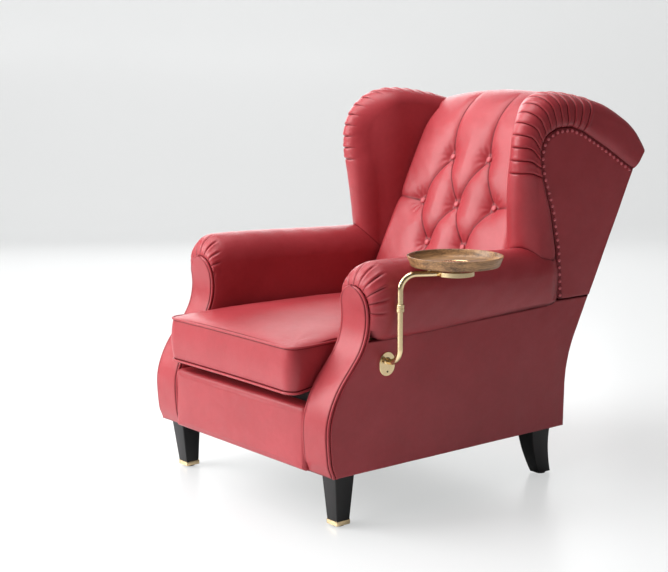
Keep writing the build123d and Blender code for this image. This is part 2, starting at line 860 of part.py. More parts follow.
def tuft_groove(start, end):
    """A V-shaped sewn fold from one place on the face to another."""
    lean = math.radians(back_face_lean)
    a = Vector(start[0], face_y(start[1]) + crown_shift(start[0]), start[1])
    b = Vector(end[0], face_y(end[1]) + crown_shift(end[0]), end[1])
    along = (b - a).normalized()
    out = Vector(0, -math.cos(lean), math.sin(lean))
    plane = Plane(origin=a, x_dir=out.cross(along), z_dir=along)
    side = 1 if plane.y_dir.dot(out) > 0 else -1
    lift = 2 * tuft_groove_depth
    half = tuft_groove_width * (tuft_groove_depth + lift) / tuft_groove_depth / 2
    root = (0, -side * tuft_groove_depth)
    triangle = Polyline(root, (half, side * lift), (-half, side * lift), root)
    return extrude(plane * make_face(triangle), amount=(b - a).length, dir=along)


buttons = button_places()
folds = []
for x, z in buttons:
    for x2, z2 in buttons:
        if abs(abs(x - x2) - button_spacing / 2) < fit_gap and 0 < z - z2 < button_spacing:
            folds.append(((x, z), (x2, z2)))
for x, z in buttons:
    if z == button_row_z[0]:
        folds.append(((x, z), (x, back_face_top_z)))
    if z == button_row_z[-1]:
        folds.append(((x, z), (x, back_face_z)))
    if abs(x) == button_spacing:
        side = math.copysign(1, x)
        folds.append(((x, z), (side * (back_half_width - back_crown), z)))
for x, z in buttons:
    back_pad = back_pad - tuft_cone(x, z)
for start, end in folds:
    back_pad = back_pad - tuft_groove(start, end)
beside_back = block((wing_inner_x - fit_gap, 0, wing_foot_z), (2 * half_width, 2 * body_back_y, wing_top_z))
beside_foot = block((seat_half_width - fit_gap, 0, 0), (2 * half_width, 2 * half_width, wing_foot_z))
for cutter in (wing_slab, arm_blank, beside_back, beside_foot):
    back_pad = back_pad - cutter - mirror(cutter, about=Plane.YZ)
back_pad = back_pad.solids().sort_by(SortBy.VOLUME)[-1]
parts["back_pad"] = back_pad

button_solids = []
for x, z in buttons:
    button = Cylinder(button_diameter / 2, button_height, align=(Align.CENTER, Align.CENTER, Align.MIN))
    button = chamfer(button.edges().sort_by(Axis.Z)[-1:], button_height / 3)
    button_solids += (on_face(x, z, tuft_depth - fit_gap) * button).solids()
parts["back_buttons"] = Compound(children=button_solids)

# Outside back and dust cover
parts["outside_back"] = side_prism(
    join_lines(
        back_line(panel_thickness, leg_height, back_panel_top_z),
        back_line(0.0, leg_height, back_panel_top_z),
    ),
    -half_width,
    half_width,
)
parts["dust_cover"] = block(
    (-panel_inner_x, front_rail_y, leg_height),
    (panel_inner_x, body_back_y - frame_rear, rail_bottom_z),
)

# Webbing and seat deck
web_front_y = front_rail_y + fit_gap
web_rear_y = rear_rail_y + rail_thickness
webs = []
web_span = 2 * (seat_half_width - seat_web_width)
for index in range(seat_web_count):
    x = -web_span / 2 + web_span * index / (seat_web_count - 1)
    webs.append(
        block(
            (x - seat_web_width / 2, web_front_y, rail_top_z),
            (x + seat_web_width / 2, web_rear_y, rail_top_z + web_thickness),
        )
    )
cross_span = rear_rail_y - front_rail_y - 4 * seat_web_width
for index in range(seat_cross_count):
    y = (front_rail_y + rear_rail_y) / 2 - cross_span / 2 + cross_span * index / (seat_cross_count - 1)
    webs.append(
        block(
            (-seat_half_width + fit_gap, y - seat_web_width / 2, rail_top_z + web_thickness),
            (seat_half_width - fit_gap, y + seat_web_width / 2, rail_top_z + 2 * web_thickness),
        )
    )
parts["seat_webbing"] = Compound(children=[solid for web in webs for solid in web.solids()])

web_near = frame_front
back_webs = []
back_span = 2 * (back_web_half_width - back_web_width)
for index in range(back_web_count):
    x = -back_span / 2 + back_span * index / (back_web_count - 1)
    back_webs.append(
        back_band(web_thickness, web_near, back_lower_rail_z, back_top_rail_z + back_web_width,
                  x - back_web_width / 2, x + back_web_width / 2)
    )
for index in range(back_cross_count):
    low = back_lower_rail_z + back_lower_rail_height
    z = low + (back_top_rail_z - low - back_web_width) * index / (back_cross_count - 1)
    back_webs.append(
        back_band(web_thickness, web_near + web_thickness, z, z + back_web_width,
                  -back_web_half_width, back_web_half_width)
    )
parts["back_webbing"] = Compound(children=[solid for web in back_webs for solid in web.solids()])

deck_low_z = rail_top_z + 2 * web_thickness
parts["seat_deck"] = block(
    (-seat_half_width + fit_gap, front_rail_y + fit_gap, deck_low_z),
    (seat_half_width - fit_gap, rear_post_front_y - fit_gap, deck_top_z),
)

# Padded front rail
front_pad = block(
    (-facing_inner_x + fit_gap, front_pad_y, leg_height),
    (facing_inner_x - fit_gap, front_rail_y, front_pad_top_z),
)
front_pad_edge = front_pad.edges().filter_by(Axis.X).group_by(Axis.Z)[-1].sort_by(Axis.Y)[0]
parts["front_rail_pad"] = fillet(front_pad_edge, front_pad_radius)


# Seat cushion: three crossed prisms give the crown, the drawn-in sides and the leaning rear
def cushion_plan(inset):
    """The cushion from above, its four sides drawn in between round corners."""
    half = cushion_half_width - inset
    front = cushion_front_y + inset
    rear = face_y(cushion_top_z) + back_crown - inset
    middle = (front + rear) / 2
    outline = make_face(
        [
            ThreePointArc((-half, front), (0, front + cushion_draw_in), (half, front)),
            ThreePointArc((half, front), (half - cushion_draw_in, middle), (half, rear)),
            Line((half, rear), (-half, rear)),
            ThreePointArc((-half, rear), (-half + cushion_draw_in, middle), (-half, front)),
        ]
    )
    corners = outline.vertices().group_by(Axis.Y)[0]
    return fillet(corners, cushion_corner_radius)


cushion_inset = cushion_piping + fit_gap
rear_low_y = face_y(cushion_bottom_z) - cushion_rear_gap
rear_high_y = face_y(cushion_top_z) - cushion_rear_gap
plan = extrude(Pos(0, 0, cushion_bottom_z - cut_overrun) * cushion_plan(cushion_inset),
               amount=cushion_top_z - cushion_bottom_z + 2 * cut_overrun, dir=(0, 0, 1))
edge_x = cushion_half_width
across = make_face(
    [
        Line((-edge_x, cushion_bottom_z), (-edge_x, cushion_top_z)),
        ThreePointArc((-edge_x, cushion_top_z), (0, cushion_top_z + cushion_crown), (edge_x, cushion_top_z)),
        Line((edge_x, cushion_top_z), (edge_x, cushion_bottom_z)),
        Line((edge_x, cushion_bottom_z), (-edge_x, cushion_bottom_z)),
    ]
)
depth_middle = (cushion_front_y + rear_high_y) / 2
along_face = make_face(
    [
        Line((cushion_front_y, cushion_bottom_z), (cushion_front_y, cushion_top_z)),
        ThreePointArc((cushion_front_y, cushion_top_z), (depth_middle, cushion_top_z + cushion_crown),
                      (rear_high_y, cushion_top_z)),
        Line((rear_high_y, cushion_top_z), (rear_low_y, cushion_bottom_z)),
        Line((rear_low_y, cushion_bottom_z), (cushion_front_y, cushion_bottom_z)),
    ]
)
cushion = plan & front_prism(across, cushion_front_y - cut_overrun, body_back_y)
cushion = cushion & side_prism(along_face, -edge_x, edge_x)
parts["seat_cushion"] = cushion


def cushion_pipe(z):
    """Piping round the front and the two sides of the cushion, at one of its edges."""
    inset = cushion_piping / 2
    half = cushion_half_width - inset
    front = cushion_front_y + inset
    rear = face_y(z) - cushion_rear_gap
    radius = cushion_corner_radius
    path = FilletPolyline((-half, rear), (-half, front), (half, front), (half, rear), radius=radius)
    return swept_tube(Pos(0, 0, z) * path, cushion_piping)


pipe_solids = []
for z in (cushion_top_z, cushion_bottom_z + cushion_piping / 2):
    pipe_solids += cushion_pipe(z).solids()
parts["cushion_piping"] = Compound(children=pipe_solids)


# Legs
def leg_section(x, y, z, width, depth):
    return Pos(x, y, z) * Rectangle(width, depth)


front_leg_low_z = glide_height + cap_floor
front_leg = loft(
    [
        leg_section(front_leg_x, front_leg_y, leg_height, front_leg_top_width, front_leg_top_depth),
        leg_section(front_leg_x - front_leg_foot_shift, front_leg_y + front_leg_foot_shift, front_leg_low_z,
                    front_leg_foot_width, front_leg_foot_width),
    ],
    ruled=True,
)


def back_leg_part():
    """Raked leg whose rear curves out towards the floor."""
    sections = []
    for step in range(back_leg_steps):
        share = step / (back_leg_steps - 1)
        z = leg_height + (glide_height - leg_height) * share
        y = back_leg_y + back_leg_rake * share**back_leg_curve
        x = back_leg_x - back_leg_draw_in * share
        width = back_leg_top_width + (back_leg_foot_width - back_leg_top_width) * share
        depth = back_leg_top_depth + (back_leg_foot_depth - back_leg_top_depth) * share
        sections.append(leg_section(x, y, z, width, depth))
    return loft(sections, ruled=True)


back_leg = back_leg_part()
foot_x = front_leg_x - front_leg_foot_shift
foot_y = front_leg_y + front_leg_foot_shift
cap_width = front_leg_foot_width + 2 * cap_wall
cap = Pos(foot_x, foot_y, glide_height + cap_height / 2) * Box(cap_width, cap_width, cap_height)
both_sides("brass_cap", cap - front_leg)

bolt_low_z = rail_bottom_z - bolt_in_leg


def bolt(x, y):
    return Pos(x, y, bolt_low_z) * Cylinder(
        bolt_diameter / 2, bolt_length, align=(Align.CENTER, Align.CENTER, Align.MIN)
    )


front_bolt = bolt(front_leg_x, front_leg_y)
back_bolt = bolt(panel_inner_x - rail_thickness / 2, back_leg_y)
both_sides("front_leg", front_leg - front_bolt)
both_sides("back_leg", back_leg - back_bolt)
bolt_solids = []
for left_bolt in (front_bolt, back_bolt):
    for side, piece in (("_left", left_bolt), ("_right", mirror(left_bolt, about=Plane.YZ))):
        for name in ("front_post" + side, "side_rail" + side, "back_post" + side, "dust_cover"):
            parts[name] = parts[name] - piece
        bolt_solids += piece.solids()
parts["leg_bolts"] = Compound(children=bolt_solids)

glide_solids = []
for side in (1, -1):
    for x, y in ((foot_x, foot_y), (back_leg_x - back_leg_draw_in, back_leg_y + back_leg_rake)):
        glide = Pos(side * x, y, 0) * Cylinder(
            glide_diameter / 2, glide_height, align=(Align.CENTER, Align.CENTER, Align.MIN)
        )
        glide_solids += glide.solids()
parts["glides"] = Compound(children=glide_solids)

# Tray bracket, fixed part
plate_face = Pos(tube_y, plate_z) * Rot(0, 0, 90) * SlotOverall(plate_height, plate_width)
plate = side_prism(plate_face, half_width, half_width + plate_thickness)
plate_outer_x = half_width + plate_thickness


def plate_screw(y, z):
    head = Pos(plate_outer_x, y, z) * Rot(0, 90, 0) * Cylinder(
        plate_screw_diameter / 2, plate_screw_head, align=(Align.CENTER, Align.CENTER, Align.MIN)
    )
    shank = Pos(plate_outer_x - plate_screw_length, y, z) * Rot(0, 90, 0) * Cylinder(
        plate_screw_shank / 2, plate_screw_length, align=(Align.CENTER, Align.CENTER, Align.MIN)
    )
    return head + shank


screw_reach = plate_width / 2 * plate_screw_share
screw_rise = plate_height / 2 - plate_width / 2
screws = [
    plate_screw(tube_y, plate_z - screw_rise - screw_reach),
    plate_screw(tube_y - screw_reach, plate_z + screw_rise),
]
for screw in screws:
    plate = plate - screw
    parts["outside_arm_left"] = parts["outside_arm_left"] - screw
parts["tray_plate"] = plate
parts["plate_screws"] = Compound(children=[solid for screw in screws for solid in screw.solids()])

low_path = FilletPolyline(
    (plate_outer_x, tube_y, tube_exit_z),
    (tube_x, tube_y, tube_exit_z),
    (tube_x, tube_y, collar_z + collar_height / 2),
    radius=tube_low_radius,
)
parts["lower_tube"] = swept_tube(low_path, tube_diameter)

collar = Pos(tube_x, tube_y, collar_z) * Cylinder(
    collar_diameter / 2, collar_height, align=(Align.CENTER, Align.CENTER, Align.MIN)
)
collar_middle_z = collar_z + collar_height / 2
low_bore = Pos(tube_x, tube_y, collar_z) * Cylinder(
    tube_radius, collar_height / 2, align=(Align.CENTER, Align.CENTER, Align.MIN)
)
high_bore = Pos(tube_x, tube_y, collar_middle_z) * Cylinder(
    tube_radius + running_clearance, collar_height / 2, align=(Align.CENTER, Align.CENTER, Align.MIN)
)
parts["tube_collar"] = collar - low_bore - high_bore

# Tray bracket, swinging part. It stands a little outwards, so that the tray is beside the arm.
socket_reach = tray_reach - disc_diameter / 2 + disc_socket
high_path = FilletPolyline(
    (tube_x, tube_y, collar_middle_z + joint_step),
    (tube_x, tube_y, tube_top_z),
    (tube_x + socket_reach * swing_x, tube_y + socket_reach * swing_y, tube_top_z),
    radius=tube_top_radius,
)
upper_tube = swept_tube(high_path, tube_diameter)
clamp_x = tube_x + clamp_reach * swing_x
clamp_y = tube_y + clamp_reach * swing_y
clamp_seat_z = tube_top_z + tube_radius + fit_gap
clamp_bore = Pos(clamp_x, clamp_y, clamp_seat_z - clamp_shank_length - fit_gap) * Cylinder(
    clamp_shank_diameter / 2 + running_clearance,
    clamp_shank_length + tube_radius,
    align=(Align.CENTER, Align.CENTER, Align.MIN),
)
parts["upper_tube"] = upper_tube - clamp_bore
clamp_shank = Pos(clamp_x, clamp_y, clamp_seat_z - clamp_shank_length) * Cylinder(
    clamp_shank_diameter / 2, clamp_shank_length, align=(Align.CENTER, Align.CENTER, Align.MIN)
)
clamp_head = Pos(clamp_x, clamp_y, clamp_seat_z) * Cylinder(
    clamp_head_diameter / 2, clamp_head_height, align=(Align.CENTER, Align.CENTER, Align.MIN)
)
parts["clamp_screw"] = clamp_shank + clamp_head
pin_bore = Pos(tray_x, tray_y, tray_z - pin_length) * Cylinder(
    pin_diameter / 2 + running_clearance, pin_length, align=(Align.CENTER, Align.CENTER, Align.MIN)
)
disc = Pos(tray_x, tray_y, disc_z) * Cylinder(
    disc_diameter / 2, disc_height, align=(Align.CENTER, Align.CENTER, Align.MIN)
)
parts["tray_disc"] = disc - upper_tube - pin_bore
hub = Pos(tray_x, tray_y, hub_z) * Cylinder(
    hub_diameter / 2, hub_height - joint_step, align=(Align.CENTER, Align.CENTER, Align.MIN)
)
parts["tray_hub"] = hub - pin_bore

# Tray
parts["tray_pin"] = Pos(tray_x, tray_y, tray_z - pin_length + fit_gap) * Cylinder(
    pin_diameter / 2, pin_length - fit_gap, align=(Align.CENTER, Align.CENTER, Align.MIN)
)


def make_tray():
    """Turned bowl with a flat floor, a flared wall and a recess for the inlay."""
    outer = tray_diameter / 2
    foot = outer - tray_flare
    inner_foot = foot - tray_wall
    profile = Polyline(
        (0, 0),
        (foot, 0),
        (outer, tray_height),
        (outer - tray_wall, tray_height),
        (inner_foot, tray_floor),
        (inlay_diameter / 2, tray_floor),
        (inlay_diameter / 2, tray_floor - inlay_thickness),
        (0, tray_floor - inlay_thickness),
        (0, 0),
    )
    turned = revolve(Plane.XZ * make_face(profile), axis=Axis.Z)
    return Pos(tray_x, tray_y, tray_z) * turned


parts["tray"] = make_tray()
parts["tray_inlay"] = Pos(tray_x, tray_y, tray_z + tray_floor - inlay_thickness) * Cylinder(
    inlay_diameter / 2, inlay_thickness, align=(Align.CENTER, Align.CENTER, Align.MIN)
)

# The origin lies on the floor under the middle of the whole object
low_x = -arm_roll_outer_x
high_x = tray_x + tray_diameter / 2
high_y = back_y(back_panel_top_z)
to_origin = Pos(-(low_x + high_x) / 2, -(cushion_front_y + high_y) / 2, 0)

os.makedirs("parts", exist_ok=True)
for name, shape in parts.items():
    export_step(to_origin * shape, "parts/" + name + ".step")
print("origin shift", to_origin.position)
print("nodes", len(parts))
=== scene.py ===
import math

import bpy
import numpy as np
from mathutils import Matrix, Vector


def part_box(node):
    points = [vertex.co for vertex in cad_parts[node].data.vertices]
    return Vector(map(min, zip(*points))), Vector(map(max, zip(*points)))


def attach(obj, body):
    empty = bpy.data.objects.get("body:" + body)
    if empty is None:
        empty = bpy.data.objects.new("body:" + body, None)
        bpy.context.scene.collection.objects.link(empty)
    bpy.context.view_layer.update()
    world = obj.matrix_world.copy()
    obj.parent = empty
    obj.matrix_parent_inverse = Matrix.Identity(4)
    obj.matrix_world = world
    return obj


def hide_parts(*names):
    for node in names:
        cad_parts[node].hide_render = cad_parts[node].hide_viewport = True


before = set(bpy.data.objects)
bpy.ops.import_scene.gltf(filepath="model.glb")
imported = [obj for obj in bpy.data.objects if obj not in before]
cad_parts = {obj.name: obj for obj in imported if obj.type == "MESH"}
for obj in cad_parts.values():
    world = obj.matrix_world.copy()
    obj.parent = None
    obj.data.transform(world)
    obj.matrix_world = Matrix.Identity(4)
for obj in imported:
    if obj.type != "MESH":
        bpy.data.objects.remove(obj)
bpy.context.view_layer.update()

bl_info = {
    "name": "Wing Club Chair",
    "version": (1, 0, 0),
    "blender": (4, 5, 0),
    "location": "View3D > Sidebar > Club Chair",
    "description": "Upholsters and finishes a wing club chair with a swing tray over its packed CAD model",
    "category": "Add Mesh",
}

# Metres. Places are given from the middle of the chair's seat box and the floor, with the front
# towards -Y and the tray on the +X side, and every finished piece is moved by MIDDLE.
SIDES = (("left", 1.0), ("right", -1.0))
BODY_FRONT = -0.423
# From the middle outwards: room for the cushion, the facing's inner side, and the hidden side
# and the face of the outside panels
SEAT_HALF = 0.278
FACING_IN = 0.2865
PANEL_IN = 0.384
HALF_WIDTH = 0.3915
# The round top of the facing
ARCH_X, ARCH_Z, ARCH_R = 0.339, 0.5555, 0.0525
# How far the back's face and the outside back lean
FACE_LEAN, BACK_LEAN = math.radians(22.5), math.radians(27.0)
FACE_RUN, BACK_RUN = math.tan(FACE_LEAN), math.tan(BACK_LEAN)
# How far the pieces under the outside back stand inside its surface
REAR_COVER = 0.0085
MIDDLE = np.array([
    (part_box("outside_back")[0].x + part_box("outside_back")[1].x) / 2,
    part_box("front_facing_left")[0].y - BODY_FRONT,
    0.0,
])
# Lower edges of the frame, of the covers on it and of the wings
FRAME_LOW = 0.14
COVER_LOW = 0.1405
WING_FOOT = 0.505
# The wing from the side, as (Y, Z): its top line, and the seam of its outside panel
WING_TOP = ((0.385, 1.072), (0.560, 1.070), (0.688, 0.993), (0.742, 0.909))
WING_SEAM = (
    (0.377, 0.505), (0.367, 0.640), (0.341, 0.752), (0.303, 0.847), (0.2935, 0.897), (0.298, 0.930),
    (0.319, 0.959), (0.363, 0.976), (0.418, 0.978), (0.466, 0.963), (0.572, 0.911), (0.684, 0.8495),
)
FINISHES = {}


def length(name, text, value):
    return bpy.props.FloatProperty(name=name, description=text, default=value, unit="LENGTH", precision=4)


def amount(name, text, value, least):
    return bpy.props.IntProperty(name=name, description=text, default=value, min=least)


def colour(name, text, value):
    return bpy.props.FloatVectorProperty(
        name=name, description=text, default=value, subtype="COLOR", size=3, min=0.0, max=1.0
    )


class ChairSizes(bpy.types.PropertyGroup):
    """Sizes of the upholstery and its trim"""

    tuft_depth: length("Tuft depth", "How far a back button is pulled in", 0.026)
    tuft_radius: length("Tuft radius", "How fast the pull of a button fades", 0.030)
    fold_depth: length("Fold depth", "Depth of the folds between buttons", 0.010)
    fold_width: length("Fold width", "How fast a fold of the back fades", 0.013)
    button_diameter: length("Button diameter", "Width of a covered button", 0.0185)
    button_height: length("Button height", "Height of a covered button", 0.007)
    pleat_depth: length("Pleat depth", "Depth of the pleats on the rolls", 0.0042)
    pleat_width: length("Pleat width", "How fast a pleat fades", 0.0028)
    piping_diameter: length("Piping diameter", "Thickness of the corded edges", 0.007)
    cushion_piping: length("Cushion piping", "Thickness of the cushion's corded edges", 0.0066)
    cushion_crown: length("Cushion crown", "How far the cushion's top rises", 0.030)
    nail_diameter: length("Nail diameter", "Width of a covered nail on the wings", 0.0098)
    nail_height: length("Nail height", "Height of a covered nail", 0.0046)
    nail_count: amount("Nails on each wing", "How many nails", 43, 2)
    leg_edge: length("Leg edge", "Rounding of the legs' edges", 0.003)
    knurl_count: amount("Knurls", "Ribs round the clamp knob", 28, 6)


class ChairColours(bpy.types.PropertyGroup):
    """Colours of the finishes"""

    leather: colour("Leather", "Red leather", (0.300, 0.025, 0.032))
    leather_worn: colour("Leather, pale", "Paler areas of the leather", (0.36, 0.037, 0.046))
    # Painted highlight: the pale colour painted over the covered nails and buttons
    leather_rubbed: colour("Leather, rubbed", "Tops of the covered nails and buttons", (0.62, 0.13, 0.15))
    # Painted shade: the dark colour of folds, seams and the places under and between parts
    leather_deep: colour("Leather, deep", "Inside folds and seams", (0.030, 0.001, 0.003))
    wood: colour("Black wood", "Lacquered legs", (0.003, 0.003, 0.0035))
    walnut_light: colour("Walnut, light", "Light grain of the tray", (0.44, 0.235, 0.100))
    walnut_dark: colour("Walnut, dark", "Dark grain of the tray", (0.070, 0.034, 0.016))
    brass: colour("Brass", "Tray arm and leg caps", (0.84, 0.65, 0.38))
    steel: colour("Steel", "Bolts", (0.48, 0.49, 0.50))
    timber: colour("Timber", "Hidden frame", (0.55, 0.38, 0.21))
    webbing: colour("Webbing", "Seat and back webbing", (0.36, 0.27, 0.15))
    cloth: colour("Dark cloth", "Dust cover and deck", (0.030, 0.028, 0.028))
    glide: colour("Glide", "Feet under the legs", (0.035, 0.033, 0.032))
    floor: colour("Floor", "Studio floor", (0.86, 0.865, 0.87))


def sizes():
    return bpy.context.scene.chair_sizes


def hue(name):
    return tuple(getattr(bpy.context.scene.chair_colours, name))


# Nodes
def give(tree, socket, value):
    """Links a socket to another one, or sets its value."""
    if isinstance(value, bpy.types.NodeSocket):
        tree.links.new(value, socket)
    elif isinstance(value, (tuple, list)) and len(value) == 3 and socket.type == "RGBA":
        socket.default_value = (*value, 1.0)
    else:
        socket.default_value = value


def new_node(tree, kind, inputs=None, **settings):
    node = tree.nodes.new(kind)
    for key, value in settings.items():
        setattr(node, key, value)
    for key, value in (inputs or {}).items():
        give(tree, node.inputs[key], value)
    return node


# Finishes
class Finish:
    """A procedural material that is built node by node round one shader."""

    def __init__(self, name):
        self.material = bpy.data.materials.new(name)
        self.material.use_nodes = True
        self.tree = self.material.node_tree
        self.shader = self.tree.nodes["Principled BSDF"]
        self.place = self.add("ShaderNodeTexCoord").outputs["Object"]
        FINISHES[name] = self.material

    def add(self, kind, inputs=None, **settings):
        return new_node(self.tree, kind, inputs, **settings)

    def set(self, **values):
        for key, value in values.items():
            give(self.tree, self.shader.inputs[key.replace("_", " ")], value)

    def stretched(self, scale):
        return self.add("ShaderNodeMapping", {"Vector": self.place, "Scale": scale}).outputs[0]

    def noise(self, scale, detail=3.0, rough=0.5, vector=None):
        inputs = {"Vector": vector or self.place, "Scale": scale, "Detail": detail, "Roughness": rough}
        return self.add("ShaderNodeTexNoise", inputs).outputs["Fac"]

    def cells(self, scale):
        """Distance from the edges of uneven cells."""
        inputs = {"Vector": self.place, "Scale": scale}
        return self.add("ShaderNodeTexVoronoi", inputs, feature="DISTANCE_TO_EDGE").outputs["Distance"]

    def ramp(self, factor, low, high, start=0.0, end=1.0):
        """A number that runs from low to high while the factor runs from start to end."""
        inputs = {"Value": factor, "From Min": start, "From Max": end, "To Min": low, "To Max": high}
        return self.add("ShaderNodeMapRange", inputs).outputs[0]

    def mix(self, factor, first, second, how="MIX"):
        inputs = {0: factor, 6: first, 7: second}
        return self.add("ShaderNodeMix", inputs, data_type="RGBA", blend_type=how).outputs[2]

    def bump(self, height, depth, strength=1.0, under=None):
        inputs = {"Height": height, "Distance": depth, "Strength": strength}
        if under is not None:
            inputs["Normal"] = under
        return self.add("ShaderNodeBump", inputs).outputs[0]

    def math(self, how, *values):
        return self.add("ShaderNodeMath", dict(enumerate(values)), operation=how).outputs[0]

    def tinted(self, base, shade):
        """A colour times a number."""
        grey = self.add("ShaderNodeCombineColor", {0: shade, 1: shade, 2: shade}).outputs[0]
        return self.mix(1.0, base, grey, "MULTIPLY")


def leather_finish():
    """Smooth hide: fine pores, slow changes of tone, and painted highlight and painted shade where the mesh
    says so: the painted shade darkens folds, seams and the places under and between parts, and dulls their
    gloss.
    """
    look = Finish("red_leather")
    crease = look.add("ShaderNodeAttribute", attribute_name="crease").outputs["Fac"]
    slow = look.ramp(look.noise(5.0, 4.0, 0.6), 0.0, 1.0, 0.35, 0.68)
    base = look.mix(slow, hue("leather"), hue("leather_worn"))
    base = look.tinted(base, look.ramp(look.noise(85.0, 3.0), 0.90, 1.08))
    # Painted highlight on the covered nails and buttons
    rubbed = look.add("ShaderNodeAttribute", attribute_name="rubbed").outputs["Fac"]
    base = look.mix(rubbed, base, hue("leather_rubbed"))
    # Painted shade: places marked on the mesh as folds and seams turn dark
    base = look.mix(crease, base, hue("leather_deep"))
    pores = look.ramp(look.cells(750.0), 0.0, 1.0, 0.0, 0.28)
    grain = look.bump(pores, 0.00018, 0.55)
    grain = look.bump(look.noise(230.0, 3.0), 0.0005, 0.35, grain)
    grain = look.bump(look.noise(22.0, 2.0), 0.0022, 0.35, grain)
    look.set(Base_Color=base, Roughness=look.ramp(look.noise(14.0), 0.36, 0.46))
    # Painted shade also takes the coat and most of the gloss away there
    look.set(Coat_Weight=look.ramp(crease, 0.12, 0.0), Coat_Roughness=0.30)
    look.set(Specular_IOR_Level=look.ramp(crease, 0.36, 0.02))
    look.set(Normal=grain)


def wood_finish(name, light, dark, scale, rough, gloss, depth=0.0003, along=(1.0, 0.06, 1.0)):
    """Timber with long grain lines, pores and slow bands."""
    look = Finish(name)
    long_grain = look.stretched(along)
    bands = look.noise(scale, 5.0, 0.62, long_grain)
    lines = look.noise(scale * 9.0, 3.0, 0.7, long_grain)
    shade = look.ramp(look.math("ADD", bands, lines), 0.0, 1.0, 0.80, 1.22)
    look.set(Base_Color=look.mix(shade, dark, light), Roughness=look.ramp(lines, rough - 0.05, rough + 0.08))
    look.set(Coat_Weight=gloss, Coat_Roughness=0.18, Specular_IOR_Level=0.32)
    look.set(Normal=look.bump(lines, depth, 0.5))


def metal_finish(name, base, rough, brushed):
    """Satin metal with fine brush lines and slow smudges."""
    look = Finish(name)
    lines = look.noise(brushed, 2.0, 0.6, look.stretched((1.0, 1.0, 7.0)))
    look.set(Base_Color=look.tinted(base, look.ramp(look.noise(30.0), 0.90, 1.06)), Metallic=1.0)
    look.set(Roughness=look.ramp(look.noise(55.0), rough - 0.04, rough + 0.05))
    look.set(Normal=look.bump(lines, 0.00005, 0.12))


def cloth_finish(name, base, thread):
    """Plain weave: two crossed sets of threads."""
    look = Finish(name)
    waves = []
    for axis in ((1.0, 0.0, 0.0), (0.0, 1.0, 0.6)):
        way = look.add("ShaderNodeVectorMath", {0: look.place, 1: axis}, operation="DOT_PRODUCT")
        phase = look.math("MULTIPLY", way.outputs["Value"], math.tau / thread)
        waves.append(look.math("SINE", phase))
    weave = look.math("MULTIPLY", *waves)
    pale = tuple(min(1.0, c * 1.5) for c in base)
    look.set(Base_Color=look.mix(look.ramp(weave, 0.0, 1.0, -1.0, 1.0), base, pale), Roughness=0.92)
    look.set(Normal=look.bump(weave, 0.0004, 0.6))


def moulded_finish(name, base):
    """Dark plastic with a fine grain."""
    look = Finish(name)
    fine = look.noise(900.0, 2.0)
    shade = look.ramp(look.noise(60.0), 0.8, 1.25)
    look.set(Base_Color=look.tinted(base, shade), Roughness=look.ramp(fine, 0.5, 0.7))
    look.set(Normal=look.bump(fine, 0.0002, 0.4))


NODE_FINISHES = {
    "frame_timber": ("rail", "post", "board", "blocks"),
    "webbing": ("webbing",),
    "steel": ("bolts",),
}


def make_finishes():
    leather_finish()
    wood_finish("black_wood", hue("wood"), (0.002, 0.002, 0.002), 26.0, 0.40, 0.04, 0.0001, (1.0, 1.0, 0.05))
    wood_finish("walnut", hue("walnut_light"), hue("walnut_dark"), 34.0, 0.42, 0.15, along=(1.0, 0.06, 2.5))
    wood_finish("frame_timber", hue("timber"), (0.30, 0.18, 0.09), 18.0, 0.70, 0.0)
    metal_finish("brass", hue("brass"), 0.22, 700.0)
    metal_finish("steel", hue("steel"), 0.35, 500.0)
    cloth_finish("webbing", hue("webbing"), 0.0028)
    cloth_finish("dark_cloth", hue("cloth"), 0.0012)
    moulded_finish("dark_glide", hue("glide"))
    # The hidden frame keeps its CAD solids
    for name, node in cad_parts.items():
        for finish, words in NODE_FINISHES.items():
            if any(word in name for word in words) and "pad" not in name:
                for holder in node.material_slots:
                    holder.material = FINISHES[finish]


# Lines
def placed(*parts):
    """Places from their coordinates, each of which is an array or one number."""
    return np.stack(np.broadcast_arrays(*parts), axis=-1)


def unit(ways):
    return ways / np.linalg.norm(ways, axis=1)[:, None]


def left_way(line, closed=False):
    """The way to the left at each place of a flat line."""
    ahead = np.roll(line, -1, axis=0) - np.roll(line, 1, axis=0) if closed else np.gradient(line, axis=0)
    return unit(placed(-ahead[:, 1], ahead[:, 0]))


def bell(distance, width):
    """1 at no distance, fading away on both sides."""
    return np.exp(-((distance / width) ** 2))


def rounded(points, radii, step=0.003):
    """An open line through points whose corners are rounded."""
    points = [np.array(p, float) for p in points]
    line = [points[0]]
    for before, corner, after, radius in zip(points, points[1:], points[2:], radii):
        u = (before - corner) / np.linalg.norm(before - corner)
        w = (after - corner) / np.linalg.norm(after - corner)
        angle = math.acos(max(-1.0, min(1.0, float(u @ w))))
        if radius <= 0 or angle > math.pi - 1e-4:
            line.append(corner)
            continue
        reach = radius / math.tan(angle / 2)
        start, end = corner + u * reach, corner + w * reach
        count = max(4, int((math.pi - angle) * radius / step) + 1)
        middle = corner + (u + w) / np.linalg.norm(u + w) * radius / math.sin(angle / 2)
        for share in np.linspace(0.0, 1.0, count):
            turn = share * (math.pi - angle)
            spread = math.sin(math.pi - angle)
            a = math.sin(math.pi - angle - turn) / spread
            b = math.sin(turn) / spread
            line.append(middle + (start - middle) * a + (end - middle) * b)
    line.append(points[-1])
    return np.array(line)


def run_of(line):
    """The length run at each point of a line."""
    return np.concatenate([[0.0], np.cumsum(np.linalg.norm(np.diff(line, axis=0), axis=1))])


def along(line, count, start=0.0, end=1.0):
    """Evenly spaced places on a line, between two shares of its length."""
    run = run_of(line)
    at = np.linspace(start, end, count) * run[-1]
    return placed(*(np.interp(at, run, part) for part in line.T))


def bezier(a, b, c, d, count):
    t = np.linspace(0.0, 1.0, count)[:, None]
    a, b, c, d = (np.array(p, float) for p in (a, b, c, d))
    return (1 - t) ** 3 * a + 3 * (1 - t) ** 2 * t * b + 3 * (1 - t) * t**2 * c + t**3 * d


